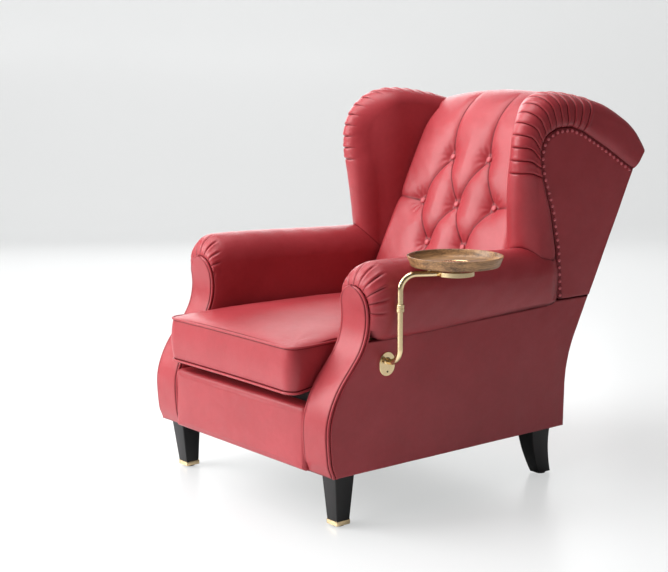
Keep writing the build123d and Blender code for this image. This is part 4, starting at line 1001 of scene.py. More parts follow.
def wing_pad(side_name, side):
    """The padded wing in one skin: hidden side, outer side, pleated roll and inner side."""
    s = sizes()
    outline, seam = wing_lines()
    run = run_of(outline)
    pleats = np.linspace(*(run[nearest(outline, place)] for place in PLEATS_FROM), PLEAT_COUNT)
    at, outline, seam = with_pleats(outline, seam, pleats)
    rear_way = (seam[-1] - outline[-1]) / np.linalg.norm(seam[-1] - outline[-1])
    turn_in = smooth(at, at[-1] - 0.12, at[-1])[:, None]
    inward = unit(-left_way(outline) * (1 - turn_in) + rear_way * turn_in)
    rear_z = np.linspace(0.8485, WING_FOOT, 22)
    rear_line = placed(back_y(rear_z) - REAR_COVER, rear_z)
    tail = np.concatenate([rear_line, placed(np.linspace(rear_line[-1, 0], 0.40, 8)[1:], WING_FOOT)])
    none = np.zeros(len(at))
    rings, dark = [], []

    def drawn_in(place):
        return 0.026 * flare(place[:, 1]) * np.clip((0.307 - place[:, 0]) / 0.06, 0.0, 1.0)

    def out_x(place):
        return WING_OUT - drawn_in(place)

    def in_x(place):
        splay = (0.020 + 0.014 * smooth(place[:, 1], 0.80, 0.95)) * (1 - smooth(place[:, 0], 0.25, 0.37))
        return 0.2850 - WING_SPLAY * (place[:, 0] - WING_FRONT) + splay - drawn_in(place)

    def pleat_height(envelope):
        lift, shade = none.copy(), none
        for centre in pleats:
            gap = at - centre
            lift += -s.pleat_depth * np.exp(-np.abs(gap) / s.pleat_width)
            lift += 0.0020 * bell(gap - 0.006, 0.005)
            # Painted shade in each pleat
            shade = np.maximum(shade, bell(gap, 0.0014))
        return lift * envelope, 0.9 * shade * envelope

    def ring(path, x, rest, rest_x, shade):
        """One ring of the skin: along the outline, and back down the wing's rear and foot"""
        rings.append(np.concatenate([placed(x, *path.T), placed(rest_x, *rest.T)]))
        dark.append(np.concatenate([shade, np.zeros(len(rest))]))

    # Hidden side, under the outside wing panel
    hidden_x = PANEL_IN - 0.001
    for share in (0.15, 0.5, 0.8):
        path, rest = (WING_CENTRE + (line - WING_CENTRE) * share for line in (seam, tail))
        ring(path, hidden_x, rest, hidden_x, none)
    ring(seam, hidden_x, tail, hidden_x, none)
    # Outer side, from the seam to the roll
    roll = (0.050 - 0.024 * smooth(outline[:, 0], 0.58, 0.70))[:, None]
    depth = np.linalg.norm(seam - outline, axis=1)[:, None]

    def inside(distance):
        """Places on the outer side that far from the outer line, bending towards the seam"""
        share = np.clip(distance / depth, 0.0, 1.0)
        bend = smooth(share, 0.15, 1.0)
        return outline + (1 - bend) * inward * share * depth + bend * (seam - outline) * share

    for share in (0.0, 0.03, 0.08, 0.16, 0.3, 0.5, 0.75, 1.0):
        place = inside(depth + (roll - depth) * share)
        lift, shade = pleat_height(1.0)
        puff = 0.004 * math.sin(math.pi * min(1.0, share * 1.1)) - 0.006 * (1 - share) ** 12
        x = out_x(place) + puff + lift * min(1.0, 0.3 + share * 2)
        # Painted shade at the panel seam and where the wing stands on the arm
        shade = np.maximum(shade, np.maximum(0.9 * (share < 0.02), 0.9 * arm_seam(x, place)))
        ring(place, x, tail, WING_REAR_OUT, shade)
    # Round the roll, which has a fuller outer edge towards the rear
    fuller = 0.66 * smooth(outline[:, 0], 0.42, 0.60) + 0.14 * smooth(outline[:, 0], 0.60, 0.70)
    fullness = 1 - fuller * (outline[:, 1] > 0.88)
    for phi in np.linspace(0.0, math.pi, 33)[1:]:
        cosine, sine = math.cos(phi), math.sin(phi)
        inset = roll * (1 - sine)
        place = inside(inset) if phi < math.pi / 2 else outline + inward * inset
        outer, inner = out_x(place), in_x(place)
        middle, half = (outer + inner) / 2, (outer - inner) / 2
        lift, shade = pleat_height(1 - float(smooth(phi, math.radians(88), math.radians(142))))
        lift = lift + 0.0008 * ripple(middle, place[:, 0], place[:, 1])
        seat = arm_seam(middle + half * cosine, place)
        # Painted shade where the wing stands on the arm
        lift, shade = lift - 0.002 * seat, np.maximum(shade, 0.9 * seat)
        place = place - inward * (lift * sine)[:, None]
        x = middle + (half + lift) * math.copysign(1.0, cosine) * abs(cosine) ** fullness
        ring(place, x, tail, WING_REAR_OUT + (in_x(tail) - WING_REAR_OUT) * (1 - cosine) / 2, shade)
    # Inner side, towards its middle
    start = outline + inward * roll
    for share in (0.06, 0.15, 0.3, 0.5, 0.7, 0.85, 0.95):
        place = start + (WING_CENTRE - start) * share
        rest = tail + (WING_CENTRE - tail) * share
        crown = 0.004 * math.sin(math.pi * min(share * 1.4, 1.0))
        shift = 0.0012 * ripple(place[:, 0], place[:, 1], place[:, 0])
        # Painted shade where the wing stands on the arm
        ring(place, in_x(place) - crown + shift, rest, in_x(rest), 0.9 * arm_seam(in_x(place), place))
    shape = skin(rings, dark)
    leather_piece("wing_leather_" + side_name, shape, ["wing_pad_" + side_name], side=side, sharp=60.0)


def wing_panel(side_name, side):
    """The flat outside of the wing, from its seam to the outside back."""
    seam = along(wing_lines()[1], 110)
    rear_z = np.linspace(0.5055, seam[-1, 1], 110)
    rear = placed(back_y(rear_z) - 0.0025, rear_z)
    u = eased(40)
    grid = seam[:, None, :] + (rear - seam)[:, None, :] * u[None, :, None]
    y, z = grid[..., 0], grid[..., 1]
    wide = np.linalg.norm(rear - seam, axis=1)[:, None]
    gap = wide * u
    edge = np.minimum(np.minimum(gap, wide * (1 - u) + 0.002), z - 0.5035)
    height = 0.0016 + rolled(edge, 0.004) + 0.0006 * ripple(y, z, y)
    height += 0.002 * np.sin(math.pi * u) * np.clip(wide / 0.2, 0, 1)
    # Painted shade at the seam, and a painted band of shade beside the nails
    dark = np.maximum(0.85 * smooth(0.0030 - gap, 0.0, 0.0025), 0.50 * smooth(0.0185 - gap, 0.0, 0.0035))
    shape = slab(placed(HALF_WIDTH + height, y, z), placed(PANEL_IN, y, z), dark)
    name = "outside_wing"
    leather_piece(name + "_leather_" + side_name, shape, [name + "_" + side_name], side=side, fill=1.0)


def wing_nails(side_name, side):
    """Covered nails along the panel's seam."""
    s = sizes()
    r, h = s.nail_diameter / 2, s.nail_height
    profile = [(0, -0.001), (r, -0.001), (r, h * 0.3), (r * 0.86, h * 0.68), (r * 0.55, h * 0.93), (0, h)]
    # The nails get painted highlight all over
    item = item_to_repeat("covered_nail", turned(profile, (0, 0, 0), axis=(side, 0, 0), count=14), 0.8)
    seam = wing_lines()[1]
    line = seam - left_way(seam) * 0.0100
    run = run_of(line)[-1]
    pitch = run / (s.nail_count + 0.5)
    line = along(line, 200, 0.5 * pitch / run, 1 - 0.9 * pitch / run)
    lines = [placed(side * (HALF_WIDTH + 0.0010), *line.T)]
    names = ["wing_nails_" + side_name]
    repeated("wing_nails_leather_" + side_name, item, lines, "red_leather", names, Count=s.nail_count)


# Outside panels
def arm_panel(side_name, side):
    """The flat outside of the arm, between the facing and the outside back."""
    v = eased(50)[:, None]
    u = eased(90)
    along_y = -0.31 + (0.505 + 0.31) * u
    top = np.interp(along_y, [-0.35, -0.25, 0.340, 0.352, 0.52], [0.474, 0.474, 0.494, 0.5035, 0.5035])
    z = COVER_LOW + v * (top - COVER_LOW)
    low_y = front_y(z) + 0.0062
    high_y = back_y(z) - 0.0025
    y = low_y + (high_y - low_y) * u
    edge = np.minimum(np.minimum(y - low_y, high_y - y) + 0.001, np.minimum(z - COVER_LOW, top - z) + 0.001)
    height = 0.0010 + rolled(edge, 0.005) + 0.0008 * ripple(y, z, y - z)
    height += 0.003 * np.sin(math.pi * u) * np.sin(math.pi * v)
    # Painted shade along the edges, and painted shadow under the arm's roll at the top
    dark = np.maximum(0.7 * smooth(0.002 - edge, 0.0, 0.003), 0.85 * smooth(0.007 - (top - z), 0.0, 0.005))
    shape = slab(placed(HALF_WIDTH + height, y, z), placed(PANEL_IN, y, z), dark)
    name = "outside_arm"
    leather_piece(name + "_leather_" + side_name, shape, [name + "_" + side_name], side=side, fill=1.0)


def outside_back():
    """The plain cover behind the back, which leans from the knee on."""
    u = eased(50) * 2 - 1
    x = np.broadcast_to((HALF_WIDTH - 0.0015) * u, (70, 50))
    top = BACK_HIGH - 0.045 * smooth(np.abs(x), 0.30, 0.389)
    z = COVER_LOW + (top - COVER_LOW) * eased(70)[:, None]
    edge = np.minimum(HALF_WIDTH - np.abs(x), np.minimum(z - COVER_LOW, top + 0.0005 - z) + 0.001)
    height = rolled(edge, 0.006) + 0.0015 * np.cos(math.pi / 2 * u) + 0.001 * ripple(x, z, x)
    tilt = smooth(z, 0.25, 0.42) * BACK_LEAN
    front = placed(x, back_y(z) + np.cos(tilt) * height, z - np.sin(tilt) * height)
    # Painted shade along the edges
    shape = slab(front, placed(x, back_y(z) - 0.0072, z), 0.7 * smooth(0.003 - edge, 0.0, 0.004))
    leather_piece("outside_back_leather", shape, ["outside_back"], fill=1.0)


def front_rail():
    """Padded front of the seat rail, its top corners rounded."""
    half, low, high, middle = 0.2925, COVER_LOW, 0.306, 0.222
    outline = np.concatenate([
        rounded([(0.0, low), (half, low), (half, high), (0.0, high)], [0.003, 0.018], 0.002),
        rounded([(0.0, high), (-half, high), (-half, low), (0.0, low)], [0.018, 0.003], 0.002)[1:-1],
    ])
    outline = along(np.concatenate([outline, outline[:1]]), 401)[:-1]
    inward = left_way(outline, closed=True)
    rings = [placed(outline[:, 0], -0.386, outline[:, 1])]
    radius = 0.013
    for angle in np.linspace(0.0, math.pi / 2, 9):
        x, z = (outline + inward * radius * (1 - math.cos(angle))).T
        rings.append(placed(x, -0.4215 - radius * math.sin(angle), z))
    start = outline + inward * radius
    for share in (0.05, 0.12, 0.25, 0.4, 0.6, 0.8, 0.95):
        x, z = (start + (np.array([0.0, middle]) - start) * share).T
        across = 1 - np.clip(np.abs(x) / half, 0, 1) ** 2.4
        upward = 1 - np.clip(np.abs(z - middle) / 0.084, 0, 1) ** 2.4
        crown = 0.004 * np.sqrt(across * upward) + 0.0008 * ripple(x, z, x)
        rings.append(placed(x, -0.4345 - crown, z))
    leather_piece("front_rail_leather", skin(rings), ["front_rail_pad"], fill=0.85, sharp=75.0)


# Seat
CUSHION_HALF = 0.2735
CUSHION_FRONT, CUSHION_REAR = -0.4665, 0.236
CUSHION_LOW, CUSHION_HIGH = 0.3450, 0.4550
CUSHION_CENTRE = np.array([0.0, -0.115])


def cushion_outline():
    """The cushion from above: four sides drawn in between round corners."""
    half, front, rear = CUSHION_HALF, CUSHION_FRONT, CUSHION_REAR
    corners = rounded([(0.0, front), (half, front), (half, rear), (0.0, rear)], [0.036, 0.030], 0.0015)
    loop = np.concatenate([corners, (corners * (-1, 1))[::-1][1:]])
    x, y = along(loop, 421)[:-1].T
    middle = (front + rear) / 2
    hollow = 0.0045 * np.cos(math.pi / 2 * np.clip((y - middle) / ((rear - front) / 2), -1, 1))
    x = x - np.sign(x) * hollow * (np.abs(x) > half * 0.8)
    x = x * (1 + 0.032 * (1 - smooth(y, -0.41, -0.31)))
    y = y + 0.0045 * np.cos(math.pi / 2 * x / half) * (y < middle)
    return placed(x, y)


def cushion_droop(place):
    """How far the cushion's lower edge hangs down in front of the deck."""
    return 0.0075 * (1 - smooth(place[:, 1], -0.455, -0.375))


def seat_cushion():
    """The loose boxed cushion with its crowned top."""
    outline = cushion_outline()
    inward = left_way(outline, closed=True)
    low, high, centre = CUSHION_LOW, CUSHION_HIGH, CUSHION_CENTRE
    corner = bell(np.abs(outline[:, 0]) - 0.265, 0.05) * bell(outline[:, 1] + 0.45, 0.06)
    rings, dark = [], []

    def ring(place, z, shade=0.0):
        rings.append(placed(*place.T, z))
        dark.append(np.full(len(place), shade))

    def pocket(place):
        """Little pulls of the cover beside the piping and at the corners"""
        return ripple(place[:, 0] * 0.8, place[:, 1] * 0.6, place[:, 0] * 0.5 + place[:, 1] * 0.3)

    # Bottom, from its middle to its edge
    for share in (0.05, 0.4, 0.8, 0.95):
        place = centre + (outline + inward * 0.010 - centre) * share
        ring(place, low - 0.0005 - cushion_droop(place))
    # Boxing between the two corded edges
    for t in np.sort(np.concatenate([np.linspace(0.0, 1.0, 19), [0.030, 0.052, 0.948, 0.970]])):
        bulge = 0.007 * math.sin(math.pi * t) ** 0.8 - 0.005
        place = outline - inward * (bulge + 0.0008 * pocket(outline) * math.sin(math.pi * t))[:, None]
        z = low + 0.004 + (high - low - 0.004) * t - cushion_droop(place) * (1 - t)
        # Painted shade beside the corded edges
        ring(place, z, 0.8 if min(t, 1 - t) < 0.04 else 0.0)
    # Top, from its edge over the crown
    start = outline + inward * 0.005
    shares = [[0.004, 0.008, 0.014], np.linspace(0.024, 0.2, 13), np.linspace(0.22, 0.97, 26)]
    for share in np.concatenate(shares):
        place = start + (centre - start) * share
        across = 1 - np.clip(np.abs(place[:, 0]) / CUSHION_HALF, 0, 1) ** 2.6
        deep = 1 - np.clip(np.abs(place[:, 1] + 0.115) / 0.345, 0, 1) ** 2.8
        rise = sizes().cushion_crown * np.sqrt(np.clip(across * deep, 0.0, 1.0))
        wrinkle = 0.0010 * pocket(place) * smooth(share, 0.0, 0.1)
        turn = np.arctan2(place[:, 1] + 0.42, np.abs(place[:, 0]) - 0.24)
        pull = 0.0005 * corner * np.cos(9 * turn) * smooth(share, 0.0, 0.05) * (1 - smooth(share, 0.15, 0.4))
        # A little painted shade at the top's edge, by the cord
        ring(place, high + rise + wrinkle + pull, 0.4 * (share < 0.006))
    more = {"body": "seat_cushion", "fill": 0.85, "sharp": 80.0}
    leather_piece("seat_cushion_leather", skin(rings, dark), ["seat_cushion"], **more)


def cushion_cords():
    """Corded edges round the cushion's front and sides, above and below."""
    outline = cushion_outline()
    line = outline + left_way(outline, closed=True) * 0.0030
    line = line[line[:, 1] < 0.21]
    line = line[np.argsort(-np.arctan2(line[:, 0], -(line[:, 1] + 0.1)))]
    lines = [placed(*line.T, z - droop * cushion_droop(line)) for z, droop in ((0.4555, 0.0), (0.3470, 1.0))]
    piping("cushion_piping_leather", lines, sizes().cushion_piping, ["cushion_piping"], body="seat_cushion")


def deck():
    """Padded seat deck under the cushion, and the dust cover under the frame."""
    low, high = box_of("seat_deck")
    centre = (low + high) / 2
    width, depth = high[0] - low[0], high[1] - low[1]
    steps = (
        (0.05, low[2]), (0.7, low[2]), (0.985, low[2]), (1.0, low[2] + 0.012), (1.0, high[2] - 0.014),
        (0.99, high[2] - 0.004), (0.96, high[2] - 0.0008), (0.7, high[2]), (0.05, high[2]),
    )
    rings = []
    for share, z in steps:
        rings.append(squared(width * share, depth * share, 0.02 * min(share * 2, 1) * share, z, centre))
    piece("seat_deck_cloth", skin(rings), "dark_cloth", ["seat_deck"], fill=0.9)
    low, high = box_of("dust_cover")
    u, v = np.meshgrid(eased(30), eased(30))
    x = low[0] + (high[0] - low[0]) * u
    y = low[1] + (high[1] - low[1]) * v
    sag = 0.004 * np.sin(math.pi * u) * np.sin(math.pi * v)
    shape = slab(placed(x, y, low[2] + 0.0005 - sag), placed(x, y, high[2] - 0.0002 - sag))
    cover = piece("dust_cover_cloth", shape, "dark_cloth", ["dust_cover"])


# Legs
FRONT_FOOT, BACK_FOOT = (0.341, -0.362), (0.346, 0.374)
CAP_STEPS = (
    # (share of the cap's width, height)
    (0.5, 0.005), (0.96, 0.005), (1.0, 0.0058), (1.0, 0.0160), (0.985, 0.0170), (0.94, 0.0170),
    (0.93, 0.0162), (0.5, 0.0160),
)


def legs():
    """Four tapered legs, the front ones with a cap, and a glide under each."""
    edge = sizes().leg_edge
    for side_name, side in SIDES:
        front, back, cap = [], [], []
        for z in np.linspace(FRAME_LOW, 0.0075, 12):
            share = (FRAME_LOW - z) / 0.1325
            place = (0.346 - 0.005 * share, -0.367 + 0.005 * share)
            front.append(squared(0.056 - 0.016 * share, 0.062 - 0.022 * share, edge, z, place))
        for share in np.linspace(0.0, 1.0, 25):
            z = FRAME_LOW - 0.135 * share
            place = (0.356 - 0.010 * share, 0.332 + 0.042 * share**1.6)
            back.append(squared(0.060 - 0.025 * share, 0.070 - 0.022 * share, edge, z, place))
        for share, z in CAP_STEPS:
            wide = 0.0436 * share
            cap.append(squared(wide, wide, edge * min(1.0, share) * 0.9, z, FRONT_FOOT))
        for name, rings, finish, node in (
            ("front_leg_wood_", front, "black_wood", "front_leg_"),
            ("back_leg_wood_", back, "black_wood", "back_leg_"),
            ("brass_cap_metal_", cap, "brass", "brass_cap_"),
        ):
            piece(name + side_name, skin(rings), finish, [node + side_name], side=side, sharp=35)
    profile = [(0, 0), (0.0125, 0), (0.0145, 0.0008), (0.015, 0.0022), (0.015, 0.0049), (0, 0.0049)]
    item = item_to_repeat("foot_glide", turned(profile, (0, 0, 0), count=32))
    spots = [[(side * x, y, 0.0)] for side in (1, -1) for x, y in (FRONT_FOOT, BACK_FOOT)]
    repeated("glides_moulded", item, spots, "dark_glide", ["glides"], turns=[(0, 0, 0)] * len(spots))


# Tray arm
TUBE_X, TUBE_Y = 0.441, -0.248
TUBE_R = 0.0075
TUBE_TOP = 0.640
SWING = math.radians(26.0)


def arm_place(reach):
    """The place seen from above that far out on the tray arm."""
    return TUBE_X + reach * math.sin(SWING), TUBE_Y + reach * math.cos(SWING)


TRAY_X, TRAY_Y = arm_place(0.140)
CLAMP_X, CLAMP_Y = arm_place(0.074)
SOCKET_X, SOCKET_Y = arm_place(0.105)
PLATE_X, PLATE_Z = 0.3955, 0.409
SOCKET_Z = 0.416
COLLAR_Z = 0.5475
DISC_Z = 0.634
HUB_Z = 0.646
KNOB_Z = 0.6478
TRAY_Z = 0.658
INLAY_Z = 0.0056
# Growth and height of the side plate's rings
PLATE_STEPS = (
    (-0.010, -0.004), (0.0, -0.004), (0.0, -0.0012), (-0.0004, -0.0005), (-0.0011, 0.0), (-0.010, 0.0),
)
# Profiles of the turned pieces, as (radius, height)
ROSE = [(0, 0.0), (0.0105, 0.0), (0.0105, 0.0012), (0.0085, 0.0024), (0, 0.0024)]
COLLAR = [
    (0.0076, 0), (0.0098, 0), (0.0105, 0.0007), (0.0105, 0.0085), (0.0100, 0.0091), (0.0100, 0.0099),
    (0.0105, 0.0105), (0.0105, 0.0183), (0.0098, 0.019), (0.0077, 0.019),
]
DISC = [(0, 0), (0.0485, 0), (0.0490, 0.0006), (0.0490, 0.0112), (0.0484, 0.0119), (0, 0.0119)]
HUB = [(0, 0.0001), (0.0122, 0.0001), (0.013, 0.0008), (0.013, 0.0110), (0.0124, 0.0117), (0, 0.0118)]
KNOB = [
    (0, -0.010), (0.0024, -0.010), (0.0024, 0.0), (0.0052, 0.0), (0.0056, 0.0006), (0.0056, 0.0058),
    (0.0050, 0.0066), (0.0034, 0.0070), (0, 0.0070),
]
BOWL = [
    (0, 0), (0.1070, 0), (0.1095, 0.0006), (0.1110, 0.0025), (0.1150, 0.0130), (0.1193, 0.0240),
    (0.1197, 0.0253), (0.1188, 0.0260), (0.1163, 0.0262), (0.1146, 0.0256), (0.1136, 0.0240),
    (0.1095, 0.0145), (0.1062, 0.0092), (0.1030, 0.0075), (0.0990, 0.0070), (0.0466, 0.0070),
    (0.0463, 0.0066), (0.0462, 0.0056), (0, 0.0056),
]
INLAY = [
    (0, 0), (0.0458, 0), (0.0460, 0.0012), (0.0456, 0.0017), (0.0440, 0.0019), (0.0436, 0.0015), (0, 0.0014),
]
PIN = [(0, -0.0197), (0.0046, -0.0197), (0.0050, -0.0193), (0.0050, 0.0), (0, 0.0)]
SHANK = [(0, -0.014), (0.002, -0.014), (0.002, -0.001), (0, -0.001)]


def metal(name, shape, body, nodes, finish="brass", sharp=35.0):
    return piece(name, shape, finish, nodes, body, sharp=sharp)


def screw_head(y, z, round_head):
    """A screw in the side plate, with a cross of thin bars on its head, coloured dark as the painted shade of
    a cross recess.
    """
    x = PLATE_X
    r, h = 0.004, 0.0018
    if round_head:
        profile = [(0, -0.001), (r, -0.001), (r, 0.0004), (r * 0.9, h * 0.7), (r * 0.6, h * 0.95), (0, h)]
    else:
        profile = [(0, -0.001), (r * 1.05, -0.001), (r * 1.05, 0.0003), (r * 0.92, 0.0006), (0, 0.0006)]
    head = turned(profile, (x, y, z), axis=(1, 0, 0), count=28)
    middle = np.array([x + profile[-1][1], y, z])
    bars = []
    for turn in (0.6, 0.6 + math.pi / 2):
        across = np.array([0.0, math.cos(turn), math.sin(turn)]) * r * 0.55
        bars.append(tube([middle - across, middle, middle + across], 0.00035, 6))
    return head, turned(SHANK, (x, y, z), axis=(1, 0, 0), count=12), bars


def bracket():
    """The side plate with its screws, both tubes, the collar between them, the disc and the hub."""
    # Stadium plate with softened edges
    turn = np.linspace(0.0, math.pi, 33)
    rings = []
    for grow, out in PLATE_STEPS:
        half, rise = 0.025 + grow, 0.006
        across, up = half * np.cos(turn), rise + half * np.sin(turn)
        upper, lower = (placed(PLATE_X + out, TUBE_Y + way * across, PLATE_Z + way * up) for way in (1, -1))
        rings.append(np.concatenate([upper, lower]))
    metal("tray_plate_metal", skin(rings), "chair", ["tray_plate"])
    heads, dark_bars = [], []
    for y, z, is_round in ((TUBE_Y, PLATE_Z - 0.0215, False), (TUBE_Y - 0.0155, PLATE_Z + 0.006, True)):
        head, shank, bars = screw_head(y, z, is_round)
        heads += [head, shank]
        dark_bars += bars
    metal("plate_screws_metal", joined(*heads), "chair", ["plate_screws"])
    # The cross recesses are dark bars on the heads: painted shade for their hollows
    metal("plate_screw_recesses", joined(*dark_bars), "chair", [], finish="dark_glide")
    # Fixed tube, with a small rose where it leaves the plate
    low = [(0.3950, TUBE_Y, SOCKET_Z), (TUBE_X, TUBE_Y, SOCKET_Z), (TUBE_X, TUBE_Y, 0.5565)]
    rose = turned(ROSE, (PLATE_X, TUBE_Y, SOCKET_Z), axis=(1, 0, 0), count=40)
    shape = joined(tube(rounded(low, [0.038], 0.002), TUBE_R, 40), rose)
    metal("lower_tube_metal", shape, "chair", ["lower_tube"])
    metal("tube_collar_metal", turned(COLLAR, (TUBE_X, TUBE_Y, COLLAR_Z), count=56), "chair", ["tube_collar"])
    # Swinging tube, let into the edge of the disc, and the hub on it
    high = [(TUBE_X, TUBE_Y, 0.5572), (TUBE_X, TUBE_Y, TUBE_TOP), (SOCKET_X, SOCKET_Y, TUBE_TOP)]
    shape = tube(rounded(high, [0.040], 0.002), TUBE_R, 40)
    metal("upper_tube_metal", shape, "tray_arm", ["upper_tube"])
    metal("tray_disc_metal", turned(DISC, (TRAY_X, TRAY_Y, DISC_Z), count=96), "tray_arm", ["tray_disc"])
    metal("tray_hub_metal", turned(HUB, (TRAY_X, TRAY_Y, HUB_Z), count=56), "tray_arm", ["tray_hub"])


def clamp():
    """Knurled clamp knob on the swinging tube."""
    place = (CLAMP_X, CLAMP_Y, KNOB_Z)
    metal("clamp_knob_metal", turned(KNOB, place, count=48), "clamp_screw", ["clamp_screw"])
    count = sizes().knurl_count
    bar = tube([(0.0055, 0, 0.0008), (0.0055, 0, 0.0032), (0.0055, 0, 0.0056)], 0.00042, 6)
    rib = item_to_repeat("knurl_rib", bar)
    turns = [(0.0, 0.0, math.tau * k / count) for k in range(count)]
    repeated("clamp_knob_knurls", rib, [[place]] * count, "brass", (), "clamp_screw", turns)


def tray():
    """The turned bowl with the brass disc let into it, and its pin."""
    centre = (TRAY_X, TRAY_Y, TRAY_Z)
    metal("tray_bowl_wood", turned(BOWL, centre, count=128), "tray", ["tray"], finish="walnut", sharp=50)
    inlay = turned([(radius, INLAY_Z + height) for radius, height in INLAY], centre, count=96)
    metal("tray_inlay_metal", inlay, "tray", ["tray_inlay"])
    metal("tray_pin_metal", turned(PIN, centre, count=32), "tray", ["tray_pin"], finish="steel")


# Studio
LAMP_AIM = (0.0, -0.1, 0.5)
LAMPS = (
    # (name, place, target, size, power, seen in reflections)
    ("key_light", (-2.8, -4.0, 3.0), LAMP_AIM, (3.9, 3.4), 385.0, True),
    ("top_light", (-0.8, -0.7, 4.2), (0.0, 0.0, 0.4), (3.2, 3.2), 175.0, True),
    ("rear_light", (-3.8, 2.3, 2.1), LAMP_AIM, (4.4, 2.4), 95.0, True),
    ("front_light", (0.4, -5.2, 2.0), (0.0, -0.1, 0.6), (2.0, 2.0), 75.0, False),
    ("side_light", (4.2, 1.5, 2.2), (0.2, 0.0, 0.5), (2.5, 2.5), 10.0, False),
)
FLOOR_REACH, WALL_HEIGHT, WALL_BEND = 14.0, 5.0, 1.5
WALL_PLACE = 6.5
CAMERA_PLACE = (2.9975, -2.5303, 1.171)
CAMERA_TILT, CAMERA_TURN = math.radians(80.73), math.radians(50.96)


def area_light(name, place, target, size, power, seen):
    lamp = bpy.data.lights.new(name, "AREA")
    lamp.shape = "RECTANGLE"
    lamp.size, lamp.size_y = size
    lamp.energy = power
    item = linked(name, lamp)
    item.location = place
    item.rotation_euler = (Vector(target) - Vector(place)).to_track_quat("-Z", "Y").to_euler()
    item.visible_camera = False
    item.visible_glossy = seen


def studio():
    """A pale floor that bends up into a wall, the lamps and the photo's camera."""
    look = Finish("pale_floor")
    look.set(Base_Color=hue("floor"), Specular_IOR_Level=0.35)
    look.set(Roughness=look.ramp(look.noise(3.0), 0.26, 0.34))
    look.set(Normal=look.bump(look.noise(1.5), 0.002, 0.1))
    # What the camera sees directly is partly its own pale colour, which adds no light to the chair
    glow = look.add("ShaderNodeEmission", {"Color": (0.865, 0.875, 0.870), "Strength": 1.0}).outputs[0]
    direct = look.add("ShaderNodeLightPath").outputs["Is Camera Ray"]
    shares = {0: look.math("MULTIPLY", direct, 0.62), 1: look.shader.outputs[0], 2: glow}
    both = look.add("ShaderNodeMixShader", shares).outputs[0]
    give(look.tree, look.tree.nodes["Material Output"].inputs["Surface"], both)
    corner = [(-FLOOR_REACH, 0.0), (WALL_PLACE, 0.0), (WALL_PLACE, WALL_HEIGHT)]
    profile = rounded(corner, [WALL_BEND], 0.08)
    places = np.array([(x, y, z) for y, z in profile for x in (-FLOOR_REACH, FLOOR_REACH)])
    cosine, sine = math.cos(CAMERA_TURN), math.sin(CAMERA_TURN)
    spin = np.array([[cosine, -sine, 0], [sine, cosine, 0], [0, 0, 1]])
    quads = [(2 * k, 2 * k + 1, 2 * k + 3, 2 * k + 2) for k in range(len(profile) - 1)]
    mesh = bpy.data.meshes.new("studio_floor")
    mesh.from_pydata((places @ spin.T + MIDDLE).tolist(), [], quads)
    mesh.polygons.foreach_set("use_smooth", [True] * len(mesh.polygons))
    mesh.materials.append(FINISHES["pale_floor"])
    linked("studio_floor", mesh)

    world = bpy.data.worlds.new("studio_world")
    bpy.context.scene.world = world
    world.use_nodes = True
    tree = world.node_tree
    # The far background is white to the camera and only adds a little light to the chair
    seen = new_node(tree, "ShaderNodeLightPath").outputs["Is Camera Ray"]
    level = new_node(tree, "ShaderNodeMapRange", {"Value": seen, "To Min": 0.12, "To Max": 1.0})
    background = tree.nodes["Background"].inputs
    give(tree, background["Color"], (0.95, 0.97, 1.0))
    give(tree, background["Strength"], level.outputs["Result"])

    for lamp in LAMPS:
        area_light(*lamp)
    lens = bpy.data.cameras.new("photo_camera")
    lens.lens = 76.26
    lens.sensor_width = 36.0
    lens.clip_end = 60.0
    camera = linked("photo_camera", lens)
    camera.location = np.array(CAMERA_PLACE) + MIDDLE
    camera.rotation_euler = (CAMERA_TILT, 0.0, CAMERA_TURN)
    bpy.context.scene.camera = camera
    bpy.context.scene.view_settings.view_transform = "Standard"


# Operators
def on_both_sides(*makers):
    for side_name, side in SIDES:
        for make in makers:
            make(side_name, side)
    return {"FINISHED"}


class CHAIR_OT_finishes(bpy.types.Operator):
    """Make the finishes and give them to the hidden frame"""

    bl_idname = "chair.finishes"
    bl_label = "Finishes"

    def execute(self, context):
        make_finishes()
        return {"FINISHED"}


class CHAIR_OT_inside_back(bpy.types.Operator):
    """Make the buttoned inside back"""

    bl_idname = "chair.inside_back"
    bl_label = "Inside back"

    def execute(self, context):
        inside_back()
        buttons()
        return {"FINISHED"}


class CHAIR_OT_arms(bpy.types.Operator):
    """Make both rolled arms"""

    bl_idname = "chair.arms"
    bl_label = "Arms"

    def execute(self, context):
        return on_both_sides(arm)


class CHAIR_OT_facings(bpy.types.Operator):
    """Make the front facings and their corded edges"""

    bl_idname = "chair.facings"
    bl_label = "Facings"

    def execute(self, context):
        return on_both_sides(facing, facing_cords)


class CHAIR_OT_wings(bpy.types.Operator):
    """Make the pleated wings, their outside panels and nails"""

    bl_idname = "chair.wings"
    bl_label = "Wings"

    def execute(self, context):
        return on_both_sides(wing_pad, wing_panel, wing_nails)


class CHAIR_OT_panels(bpy.types.Operator):
    """Make the outside arm and back panels and the front rail"""

    bl_idname = "chair.panels"
    bl_label = "Outside panels"

    def execute(self, context):
        on_both_sides(arm_panel)
        outside_back()
        front_rail()
        return {"FINISHED"}


class CHAIR_OT_seat(bpy.types.Operator):
    """Make the seat cushion, its piping and the deck below"""

    bl_idname = "chair.seat"
    bl_label = "Seat"

    def execute(self, context):
        seat_cushion()
        cushion_cords()
        deck()
        return {"FINISHED"}


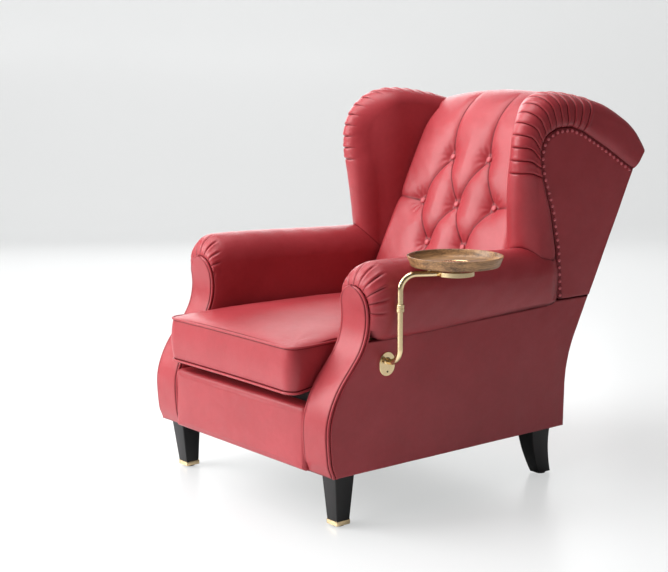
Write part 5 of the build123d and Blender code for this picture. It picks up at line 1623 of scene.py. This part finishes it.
class CHAIR_OT_legs(bpy.types.Operator):
    """Make the legs, their caps and glides"""

    bl_idname = "chair.legs"
    bl_label = "Legs"

    def execute(self, context):
        legs()
        return {"FINISHED"}


class CHAIR_OT_tray_arm(bpy.types.Operator):
    """Make the swinging tray arm and its side plate"""

    bl_idname = "chair.tray_arm"
    bl_label = "Tray arm"

    def execute(self, context):
        bracket()
        clamp()
        return {"FINISHED"}


class CHAIR_OT_tray(bpy.types.Operator):
    """Make the turned tray"""

    bl_idname = "chair.tray"
    bl_label = "Tray"

    def execute(self, context):
        tray()
        return {"FINISHED"}


class CHAIR_OT_studio(bpy.types.Operator):
    """Make the floor, the lights and the camera"""

    bl_idname = "chair.studio"
    bl_label = "Studio"

    def execute(self, context):
        studio()
        return {"FINISHED"}


STEPS = (
    CHAIR_OT_finishes, CHAIR_OT_inside_back, CHAIR_OT_arms, CHAIR_OT_facings, CHAIR_OT_wings, CHAIR_OT_panels,
    CHAIR_OT_seat, CHAIR_OT_legs, CHAIR_OT_tray_arm, CHAIR_OT_tray, CHAIR_OT_studio,
)


class CHAIR_PT_sidebar(bpy.types.Panel):
    """Sizes, colours and steps of the chair"""

    bl_idname = "CHAIR_PT_sidebar"
    bl_label = "Club Chair"
    bl_space_type = "VIEW_3D"
    bl_region_type = "UI"
    bl_category = "Club Chair"

    def draw(self, context):
        for group in (context.scene.chair_sizes, context.scene.chair_colours):
            box = self.layout.box()
            for name in group.__annotations__:
                box.prop(group, name)
        for step in STEPS:
            self.layout.operator(step.bl_idname)


CLASSES = (ChairSizes, ChairColours, *STEPS, CHAIR_PT_sidebar)


def register():
    for item in CLASSES:
        bpy.utils.register_class(item)
    bpy.types.Scene.chair_sizes = bpy.props.PointerProperty(type=ChairSizes)
    bpy.types.Scene.chair_colours = bpy.props.PointerProperty(type=ChairColours)


def unregister():
    del bpy.types.Scene.chair_colours
    del bpy.types.Scene.chair_sizes
    for item in reversed(CLASSES):
        bpy.utils.unregister_class(item)


def main():
    register()
    for step in STEPS:
        group, name = step.bl_idname.split(".")
        getattr(getattr(bpy.ops, group), name)()


if __name__ == "__main__":
    main()
